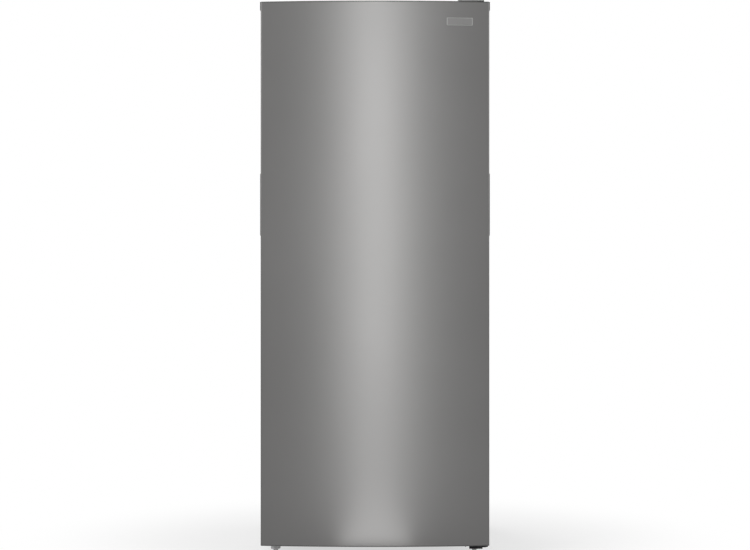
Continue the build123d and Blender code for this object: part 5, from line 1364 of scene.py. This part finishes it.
@dataclass
class Basket(SubAssembly):
    """Slotted basket with a flat rim that runs in the side rails.

    Attributes:
        half: Half of the width inside the rim.
        y: Front and back inside the rim.
        z: Floor and top of the basket.
        wall: Thickness of the walls.
        floor: Thickness of the floor.
        taper: How far a wall comes in per unit of height.
        corner: Radius of the upright corners.
        base_round: Radius between the walls and the floor.
        slot: Width of every slot.
        slot_z: Lower and upper end of the slots in the walls.
        slot_margin: Distance of the outer slots from the basket's sides.
        slots_across: Number of slots in the front and in the back wall.
        slots_along: Number of slots in each side wall.
        floor_slots: Number of slots in the floor.
        floor_slot_half: Half of their length.
        rim_half: Half of the width over the rim.
        rim_y: Front and back of the rim.
    """

    body = "basket"
    half: float = 264.0
    y: Pair = (-147.5, 114.5)
    z: Pair = (124.0, 274.0)
    wall: float = 2.5
    floor: float = 4.0
    taper: float = 0.0699
    corner: float = 19.0
    base_round: float = 6.0
    slot: float = 9.0
    slot_z: Pair = (154.0, 244.0)
    slot_margin: float = 60.0
    slots_across: int = 9
    slots_along: int = 4
    floor_slots: int = 7
    floor_slot_half: float = 71.0
    rim_half: float = 282.0
    rim_y: Pair = (-155.5, 122.5)

    @property
    def lean(self) -> float:
        """How far the walls come in from the rim down to the floor."""
        return (self.z[1] - self.z[0]) * self.taper

    def outline(self) -> list[Row]:
        """Follows the basket's top outline, with a line at each slot's side.

        Returns:
            Rows of (x, y, x direction, y direction).
        """
        r, x1, (y0, y1) = self.corner, self.half, self.y
        sides = centred(self.slot / 2)
        across = sorted(x + s for x in evenly(self.slots_across, self.half - self.slot_margin) for s in sides)
        reach, middle = (y1 - y0) / 2 - self.slot_margin, (y0 + y1) / 2
        along = sorted(y + s for y in evenly(self.slots_along, reach, middle) for s in sides)
        rows = [(x1, y, 1.0, 0.0) for y in along] + arc((x1 - r, y1 - r), r, 0, 90, 7)
        rows += [(x, y1, 0.0, 1.0) for x in reversed(across)] + arc((r - x1, y1 - r), r, 90, 180, 7)
        rows += [(-x1, y, -1.0, 0.0) for y in reversed(along)] + arc((r - x1, y0 + r), r, 180, 270, 7)
        return rows + [(x, y0, 0.0, -1.0) for x in across] + arc((x1 - r, y0 + r), r, 270, 360, 7)

    def levels(self) -> list[Pair]:
        """Follows a wall from the round at its foot past the slots' ends to the rim.

        Returns:
            Rows of (z, distance inwards from the top outline).
        """
        low, top = self.z
        rows = []
        for i in range(5):
            angle = math.pi / 2 * i / 4
            rows.append((low + self.base_round * (1 - math.sin(math.pi / 2 - angle)),
                         self.lean + self.base_round * (1 - math.sin(angle))))
        return rows + [(z, (top - z) * self.taper) for z in (*self.slot_z, top - 3.2, top)]

    def walls(self, form: Form) -> None:
        """Adds the slotted walls.

        Args:
            form: The basket's form.
        """
        rows, levels = self.outline(), self.levels()

        def place(i: int, j: int, side: int) -> Point:
            """Finds a point on the outer or inner face of a wall.

            Args:
                i: Its place round the outline.
                j: Its place up the wall.
                side: 0 for the outer and 1 for the inner face.

            Returns:
                The point.
            """
            x, y, nx, ny = rows[i]
            z, inset = levels[j]
            inset += self.wall * side
            return (x - nx * inset, y - ny * inset, z + (self.wall * side if j == 0 else 0.0))

        def keep(i: int, j: int) -> bool:
            """Keeps everything but the slots: cells of a slot's width on a straight wall, at the slots' height.

            Args:
                i: The cell's place round the outline.
                j: The cell's place up the wall.

            Returns:
                Whether the cell is there.
            """
            a, b = rows[i], rows[(i + 1) % len(rows)]
            width = math.dist(a[:2], b[:2])
            straight = a[2:] == b[2:]
            level = levels[j][0]
            return not (straight and abs(width - self.slot) < 0.01 and self.slot_z[0] <= level < self.slot_z[1])

        form.sheet(len(rows), len(levels), place, keep, closed=True)

    def base(self, form: Form) -> None:
        """Adds the slotted floor.

        Args:
            form: The basket's form.
        """
        inset = self.lean + self.base_round - 1.0
        cuts = [centred(self.slot / 2, x) for x in evenly(self.floor_slots, self.half - self.slot_margin)]
        slot_y = centred(self.floor_slot_half, sum(self.y) / 2)
        xs = breaks(-self.half + inset, self.half - inset, [e for c in cuts for e in c])
        ys = breaks(self.y[0] + inset, self.y[1] - inset, slot_y)

        def place(i: int, j: int, side: int) -> Point:
            """Point on the lower or upper face of the floor."""
            return (xs[i], ys[j], self.z[0] + self.floor * side)

        def keep(i: int, j: int) -> bool:
            """Everything but the floor's slots."""
            x, y = (xs[i] + xs[i + 1]) / 2, (ys[j] + ys[j + 1]) / 2
            return not (slot_y[0] < y < slot_y[1] and any(c[0] < x < c[1] for c in cuts))

        form.sheet(len(xs), len(ys), place, keep)

    def rim(self, form: Form) -> None:
        """Adds the flat rim, from its outer edge over its top to inside the walls.

        Args:
            form: The basket's form.
        """
        top, outer, inner = self.z[1], self.rim_half - self.half, self.wall + OVERLAP
        rows = [(outer, top - 3.0, 8.0), (outer, top - 0.6, 8.0), (outer - 0.6, top, 8.0), (-inner + 0.8, top, 12.0),
                (-inner, top - 0.8, 12.0), (-inner, top - 3.0, 12.0)]
        rings = []
        for out, z, radius in rows:
            share = (out + inner) / (outer + inner)
            y = (self.y[0] + inner - share * (self.y[0] - self.rim_y[0] + inner),
                 self.y[1] - inner + share * (self.rim_y[1] - self.y[1] + inner))
            rings.append([(u, v, z) for u, v in rounded(centred(self.half + out), y, radius, 7)])
        form.loft(rings, cyclic=True)

    def build(self) -> None:
        """Makes the basket's walls, floor and rim as one piece."""
        form = Form()
        self.walls(form)
        self.base(form)
        self.rim(form)
        self.fit(form, "slotted_basket", "white_plastic", ["basket"])


@dataclass
class Hardware(SubAssembly):
    """Hinge cover, dial and its scale, feet, rollers, screws and plugs.

    Attributes:
        cover_x: Sides of the hinge cover.
        cover_y: Front and back of the hinge cover.
        cover_z: Lower and upper end of the hinge cover.
        foot_x: Place of the right foot along X.
        foot_y: Place of the feet along Y.
        roller_x: Middle of the right roller along X.
        roller_y: Place of the rollers' axles along Y.
        roller_radius: Radius of a roller.
        roller_width: Width of a roller.
        thread_z: Lower and upper end of a foot's thread.
        thread_turns: Number of its turns.
        hinge_screws: X, each Y and Z of the upper hinge's screws, which the plugs mirror.
        bracket_screws: Each X, Y and Z of the screws in the lower brackets.
        cover_screws: X, Y and each Z of the screws in the rear cover.
        grip_half: Half of the width and length of the dial's grip.
        scale_radius: Distance of the scale's dots from the dial's middle.
        scale_angles: Angle of each dot in degrees, from warm to cold.
        dot: Radius of the first dot, and how much each next one adds.
    """

    cover_x: Pair = (252.0, 331.0)
    cover_y: Pair = (-343.5, -197.5)
    cover_z: Pair = (1688.0, 1700.0)
    foot_x: float = 306.0
    foot_y: float = -255.5
    roller_x: float = 300.0
    roller_y: float = 321.5
    roller_radius: float = 17.0
    roller_width: float = 15.0
    thread_z: Pair = (40.4, 66.0)
    thread_turns: int = 12
    hinge_screws: tuple[float, Sequence[float], float] = (289.0, (-263.5, -239.5, -215.5), 1691.0)
    bracket_screws: tuple[Sequence[float], float, float] = ((321.0, 303.0), -232.0, 41.0)
    cover_screws: tuple[float, float, Sequence[float]] = (309.0, 358.5, (58.0, 228.0))
    grip_half: Pair = (2.5, 12.6)
    scale_radius: float = 16.0
    scale_angles: Sequence[float] = (210.0, 170.0, 130.0, 90.0, 50.0, 10.0, -30.0)
    dot: Pair = (0.55, 0.09)

    def hinge_cover(self) -> None:
        """Hollow cover with a flat, soft-edged top."""
        z0, z1 = self.cover_z
        rows = [(z0, 1.6, 2.6), (z0, 0.0, 4.0), (z0 + 6.0, 0.0, 4.0), (z1 - 3.0, 0.35, 4.2), (z1 - 1.4, 0.9, 4.2),
                (z1 - 0.4, 2.0, 4.0), (z1, 4.0, 4.0), (z1, 6.0, 3.0)]
        rings = [[(u, v, z) for u, v in rounded(shrunk(self.cover_x, i), shrunk(self.cover_y, i), r, 6)]
                 for z, i, r in rows]
        under = [[(u, v, z0 + rise) for u, v in rounded(shrunk(self.cover_x, i), shrunk(self.cover_y, i), 2.6, 6)]
                 for rise, i in ((9.6, 2.6), (0.0, 1.6))]
        form = Form().loft(rings, caps=False)
        form.faces.append(tuple(range(len(form.points) - len(rings[-1]), len(form.points))))
        start = len(form.points)
        form.loft(under, caps=False)
        form.faces.append(tuple(reversed(range(start, start + len(under[0])))))
        self.fit(form, "hinge_cap", "trim_grey", ["top_hinge_cover"])

    def foot(self, side: int) -> None:
        """Levelling foot: round pad, hexagonal collar and threaded stem.

        Args:
            side: 1 for the right foot, -1 for the left one.
        """
        name = "right_foot" if side > 0 else "left_foot"
        base = (side * self.foot_x, self.foot_y, 0.0)
        form = Form().turned(base, (0, 0, 1), [(6.3, 0.0), (7.2, 0.5), (7.5, 1.4), (7.5, 6.0), (7.1, 6.8), (7.1, 14.8)])
        form.turned(base, (0, 0, 1), [(12.4, 14.5), (13.3, 15.1), (13.5, 16.2), (13.5, 39.0), (13.2, 40.2),
                                      (12.2, 40.7)], 72, hexagon)
        thread = []
        low, high = self.thread_z
        for i in range(self.thread_turns):
            z = low + (high - low) * i / self.thread_turns
            thread += [(4.2, z), (5.0, z + 0.8), (5.0, z + 1.1), (4.2, z + 1.9)]
        form.turned(base, (0, 0, 1), thread + [(4.2, high)], 24)
        self.fit(form, name + "_turned", "foot_grey", [name], body=name)

    def roller(self, side: int) -> None:
        """Moulded wheel with a soft tread, a sunk web and a bored hub.

        Args:
            side: 1 for the right roller, -1 for the left one.
        """
        name = "right_roller" if side > 0 else "left_roller"
        r, width, sides = self.roller_radius, self.roller_width, 48
        start = (side * self.roller_x - width / 2, self.roller_y, r)
        profile = [(3.08, 0.0), (6.0, 0.0), (6.4, 0.4), (6.6, 3.0), (13.0, 3.0), (13.4, 0.6), (13.8, 0.2), (15.8, 0.2),
                   (16.6, 0.6), (r, 1.6)]
        profile += [(radius, width - height) for radius, height in reversed(profile)]
        form = Form().turned(start, (1, 0, 0), profile, sides)
        form.faces = form.faces[:-2]
        last = len(form.points) - sides
        for i in range(sides):
            j = (i + 1) % sides
            form.faces.append((i, last + i, last + j, j))
        self.fit(form, name + "_wheel", "roller_white", [name], body=name)

    def screws(self) -> None:
        """Hexagonal screw heads with a washer face."""
        x, ys, z = self.hinge_screws
        places = [((x, y, z), (0, 0, 1)) for y in ys]
        for side in (-1, 1):
            xs, y, z = self.bracket_screws
            places += [((side * x, y, z), (0, 0, -1)) for x in xs]
            x, y, zs = self.cover_screws
            places += [((side * x, y, z), (0, 1, 0)) for z in zs]
        form = Form()
        for spot, way in places:
            form.turned(spot, way, [(5.1, -0.1), (5.1, 0.7), (4.8, 0.9)], 30)
            form.turned(spot, way, [(4.3, 0.8), (4.3, 2.6), (4.1, 3.1), (3.4, 3.5)], 36, hexagon)
        self.fit(form, "screw_heads", "pin_steel", ["cabinet_screws"])

    def plugs(self) -> None:
        """Low domed buttons over the spare screw holes."""
        form = Form()
        x, ys, _ = self.hinge_screws
        dome = [(5.0, 0.0), (5.0, 0.5), (4.6, 1.0), (3.4, 1.35), (1.6, 1.5)]
        for y in ys:
            form.turned((-x, y, self.cover_z[0]), (0, 0, 1), dome, 28)
        self.fit(form, "button_plugs", "trim_grey", ["hole_plugs"])

    def dial(self) -> None:
        """Fluted dial with a raised straight grip."""
        (x0, x1), (y0, _), (z0, z1) = box_mm("temperature_dial")
        x, z = (x0 + x1) / 2, (z0 + z1) / 2
        face = y0 + 8.0
        rim = [(12.6, 0.0), (13.0, 0.5), (13.0, 3.2), (12.6, 3.8), (11.6, 4.0)]
        form = Form().turned((x, face + 4.0, z), (0, -1, 0), rim, 96, fluted)
        across, along = self.grip_half
        rings = []
        for depth, inset, r in ((-0.2, 0.0, 1.5), (5.5, 0.2, 1.6), (7.4, 0.7, 1.6), (8.0, 1.4, 1.2)):
            outline = rounded(centred(across - inset, x), centred(along - inset, z), min(r, across - 0.1 - inset), 5)
            rings.append([(u, face - depth, v) for u, v in outline])
        form.loft(rings)
        form.turned((x, face + 3.8, z), (0, 1, 0), [(3.0, 0.0), (3.0, 10.4)], 20)
        self.fit(form, "cold_dial", "dial_grey", ["temperature_dial"], body="dial")

    def dial_scale(self) -> None:
        """Raised dots round the dial that grow from warm to cold."""
        (x0, x1), _, (z0, z1) = box_mm("temperature_dial")
        x, z, face = (x0 + x1) / 2, (z0 + z1) / 2, box_mm("control_housing")[1][0]
        form = Form()
        least, growth = self.dot
        for i, degrees in enumerate(self.scale_angles):
            angle = math.radians(degrees)
            spot = (x + self.scale_radius * math.cos(angle), face, z + self.scale_radius * math.sin(angle))
            size = least + growth * i
            form.turned(spot, (0, -1, 0), [(size, -0.1), (size, 0.22), (size * 0.6, 0.36)], 14)
        self.fit(form, "dial_scale", "dial_grey")

    def build(self) -> None:
        """Makes every small piece."""
        self.hinge_cover()
        for side in (-1, 1):
            self.foot(side)
            self.roller(side)
        self.screws()
        self.plugs()
        self.dial()
        self.dial_scale()


@dataclass
class Machine(SubAssembly):
    """Compressor with its domed pot, welded seam and foot strap.

    Attributes:
        x: Middle of the pot along X.
        y: Middle of the pot along Y.
        z: Lower and upper end of the pot.
        half: Half of the pot's width and depth.
        strap: Half of the foot strap's width and depth.
    """

    x: float = 70.0
    y: float = 275.5
    z: Pair = (60.6, 178.6)
    half: Pair = (84.0, 61.0)
    strap: Pair = (98.0, 64.0)

    def build(self) -> None:
        """Makes the compressor."""
        low, high = self.z
        middle = (low + high) / 2
        rows = [(low, 26.0), (low + 4.0, 15.0), (low + 12.0, 5.0), (low + 24.0, 0.6), (middle - 2.2, 0.0),
                (middle - 2.0, -3.4), (middle - 1.0, -4.0), (middle + 1.0, -4.0), (middle + 2.0, -3.4),
                (middle + 2.2, 0.0), (high - 26.0, 0.8), (high - 13.0, 5.5), (high - 4.5, 16.0), (high - 0.8, 30.0),
                (high, 42.0)]
        rings = [[(u, v, z) for u, v in rounded(centred(self.half[0] - i, self.x), centred(self.half[1] - i, self.y),
                                                max(52.0 - i, 10.0), 10)] for z, i in rows]
        form = Form().loft(rings)
        form.slab(centred(self.strap[0], self.x), centred(self.strap[1], self.y), (57.6, 60.8), 12.0, 0.5)
        self.fit(form, "compressor_pot", "black_paint", ["compressor"])


# ---- the CAD nodes that stay ----
@dataclass(frozen=True)
class Carried:
    """A CAD node that is shown as it is, with its finish and softened edges.

    Attributes:
        node: The node's name.
        soften: Width of the softened edges in millimetres, or 0 for none.
        finish: Name of its finish, where it isn't the one named after its slot.
    """

    node: str
    soften: float = 0.0
    finish: str = ""

    def dress(self, slots: dict[str, str]) -> None:
        """Gives the node its finish and modifiers.

        Args:
            slots: Slot of each node, from the record.
        """
        shown = bpy.data.objects[self.node]
        shown.data.materials.clear()
        shown.data.materials.append(FINISHES[self.finish or slots[self.node]].material())
        if self.soften:
            weld = shown.modifiers.new("weld", "WELD")
            weld.merge_threshold = WELD_METRES
            flat = shown.modifiers.new("whole_faces", "DECIMATE")
            flat.decimate_type = "DISSOLVE"
            flat.angle_limit = math.radians(FLAT_DEGREES)
            bevel = shown.modifiers.new("soft_edges", "BEVEL")
            bevel.width = self.soften * MM
            bevel.segments = 2
            bevel.limit_method = "ANGLE"
            bevel.angle_limit = math.radians(BEVEL_DEGREES)
            shown.modifiers.new("flat_faces", "WEIGHTED_NORMAL")
        LOG.info("%s: carried over", self.node)


CARRIED = [
    Carried("cabinet_foam"), Carried("door_foam"), Carried("condenser_loop"), Carried("evaporator_coil"),
    Carried("defrost_heater"), Carried("drain_trough"), Carried("gasket_magnets"), Carried("led_board"),
    Carried("bottom_panel"), Carried("front_rail"), Carried("base_pan", 0.3), Carried("basket_handle", 0.6),
    Carried("basket_rails", 0.4), Carried("control_housing", 0.8), Carried("lamp_lens", 0.4), Carried("fan_motor", 0.6),
    Carried("fan_blade", 0.4), Carried("compressor_mounts", 0.8), Carried("relay_box", 1.5), Carried("drain_pan", 0.6),
    # foot_bracket and bottom_hinge_bracket take black paint made darker and duller, as painted shade beside the feet.
    Carried("cord_gland", 0.6), Carried("foot_bracket", 0.5, "bracket_painted_shade"), Carried("roller_brackets", 0.5),
    Carried("top_hinge_bracket", 0.5), Carried("bottom_hinge_bracket", 0.6, "bracket_painted_shade"),
    # hinge_pins take steel painted near black, as painted shade at the hinges.
    Carried("hinge_pins", 0.4, "pin_painted_shade"), Carried("hinge_bushes", 0.4),
]


# ---- studio ----
@dataclass(frozen=True)
class Lamp:
    """A rectangular lamp that doesn't show itself.

    Attributes:
        name: The lamp's name.
        place: Where it stands, in metres.
        size: Its width and height, in metres.
        power: Its power in watts.
        aim: The point that it faces, in metres.
    """

    name: str
    place: Point
    size: Pair
    power: float
    aim: Point = (0.0, 0.0, 0.9)

    def hang(self) -> None:
        """Adds the lamp to the scene."""
        data = bpy.data.lights.new(self.name, "AREA")
        data.shape = "RECTANGLE"
        data.size, data.size_y = self.size
        data.energy = self.power
        lamp = bpy.data.objects.new(self.name, data)
        lamp.location = self.place
        lamp.rotation_euler = (Vector(self.aim) - Vector(self.place)).to_track_quat("-Z", "Y").to_euler()
        lamp.visible_camera = False
        bpy.context.scene.collection.objects.link(lamp)


# The first three draw the light band down the bowed door, the softboxes light the sides and the back.
LAMPS = (
    Lamp("front_strip", (0.0, -6.6, 1.85), (0.7, 3.7), 84.0, (0.0, 0.0, 1.1)),
    Lamp("near_strip", (0.0, -1.375, 0.02), (0.25, 1.75), 4.2, (0.0, -1.374, 1.0)),
    Lamp("far_strip", (0.0, -4.25, 0.02), (0.5, 4.0), 24.0, (0.0, -4.249, 1.0)),
    Lamp("left_softbox", (-3.6, -3.0, 2.6), (2.4, 2.4), 56.0),
    Lamp("right_softbox", (3.8, -1.8, 2.4), (2.6, 2.6), 38.0),
    Lamp("rear_softbox", (-1.8, 4.2, 2.6), (2.4, 2.4), 60.0),
)


@dataclass
class Studio:
    """Floor, world, lamps and camera, in metres.

    Attributes:
        eye: Place of the camera.
        lens: Focal length in millimetres.
        ambient: Strength of the surroundings as a source of light.
        plain_radius: Distance from the origin at which the floor starts to turn white.
        fade_width: Distance over which it turns white.
        shadow_lift: Share of white in the floor near the object, which keeps the shadow pale.
        floor_half: Half of the floor's width.
    """

    eye: Point = (0.0, -5.54, 0.8572)
    lens: float = 82.3
    ambient: float = 0.62
    plain_radius: float = 0.42
    fade_width: float = 0.85
    shadow_lift: float = 0.55
    floor_half: float = 30.0

    def seen_share(self, graph: NodeGraph) -> bpy.types.NodeSocket:
        """Finds the rays that show the backdrop: straight, mirrored or through clear plastic.

        Args:
            graph: The graph that the nodes go to.

        Returns:
            The socket of a value that is 1 for those rays and 0 for the others.
        """
        path = graph.add("ShaderNodeLightPath").outputs
        either = graph.add("ShaderNodeMath", {0: path["Is Camera Ray"], 1: path["Is Glossy Ray"]}, operation="MAXIMUM")
        return graph.add("ShaderNodeMath", {0: either.outputs[0], 1: path["Is Transmission Ray"]},
                         operation="MAXIMUM").outputs[0]

    def world(self) -> None:
        """White surroundings, dimmer as a source of light."""
        world = bpy.data.worlds.new("studio_world")
        bpy.context.scene.world = world
        graph = NodeGraph(world)
        strength = graph.add("ShaderNodeMapRange", {"Value": self.seen_share(graph), "To Min": self.ambient})
        back = graph.add("ShaderNodeBackground", {"Color": (1, 1, 1, 1), "Strength": strength.outputs["Result"]})
        graph.add("ShaderNodeOutputWorld", {"Surface": back.outputs["Background"]})

    def floor(self) -> None:
        """Pale floor that takes the shadow near the object and turns white further out."""
        half = self.floor_half / MM
        form = Form().loft([[(-half, -half, 0), (half, -half, 0), (half, half, 0), (-half, half, 0)],
                            [(-half, -half, -20), (half, -half, -20), (half, half, -20), (-half, half, -20)]])
        slab = form.build("studio_floor")
        paint = bpy.data.materials.new("floor_paint")
        graph = NodeGraph(paint)
        spot = graph.add("ShaderNodeNewGeometry").outputs["Position"]
        distance = graph.add("ShaderNodeVectorMath", {0: spot}, operation="LENGTH").outputs["Value"]
        fade = graph.add("ShaderNodeMapRange", {"Value": distance, "From Min": self.plain_radius,
                                                "From Max": self.plain_radius + self.fade_width,
                                                "To Min": self.shadow_lift})
        fade.interpolation_type = "SMOOTHERSTEP"
        matt = graph.add("ShaderNodeBsdfPrincipled", {"Base Color": (0.93, 0.93, 0.93, 1), "Roughness": 0.9,
                                                      "Specular IOR Level": 0.1})
        strength = graph.add("ShaderNodeMapRange", {"Value": self.seen_share(graph), "To Min": self.ambient})
        glow = graph.add("ShaderNodeEmission", {"Color": (1, 1, 1, 1), "Strength": strength.outputs["Result"]})
        mixed = graph.add("ShaderNodeMixShader", {0: fade.outputs["Result"], 1: matt.outputs["BSDF"],
                                                  2: glow.outputs["Emission"]})
        graph.add("ShaderNodeOutputMaterial", {"Surface": mixed.outputs["Shader"]})
        slab.data.materials.append(paint)

    def camera(self) -> None:
        """Level camera at the photograph's distance."""
        data = bpy.data.cameras.new("photo_camera")
        data.lens, data.sensor_width, data.clip_end = self.lens, 36.0, 200.0
        camera = bpy.data.objects.new("photo_camera", data)
        camera.location = self.eye
        camera.rotation_euler = (math.pi / 2, 0, 0)
        bpy.context.scene.collection.objects.link(camera)
        bpy.context.scene.camera = camera

    def build(self) -> None:
        """Sets up the whole studio."""
        self.camera()
        self.world()
        self.floor()
        for lamp in LAMPS:
            lamp.hang()
        bpy.context.scene.view_settings.view_transform = "Standard"


def main() -> None:
    logging.basicConfig(level=logging.INFO, format="%(message)s")
    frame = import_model()
    slots = {row["node"]: row["material_slot"] for row in frame["record"]["subparts"]}
    Studio().build()
    groups: list[SubAssembly] = [DoorOutside(DoorPlan()), DoorInside(), CabinetOutside(), Cavity(), AirCover(),
                                 Basket(), Hardware(), Machine()]
    for group in groups:
        group.build()
    for carried in CARRIED:
        carried.dress(slots)


if __name__ == "__main__":
    main()
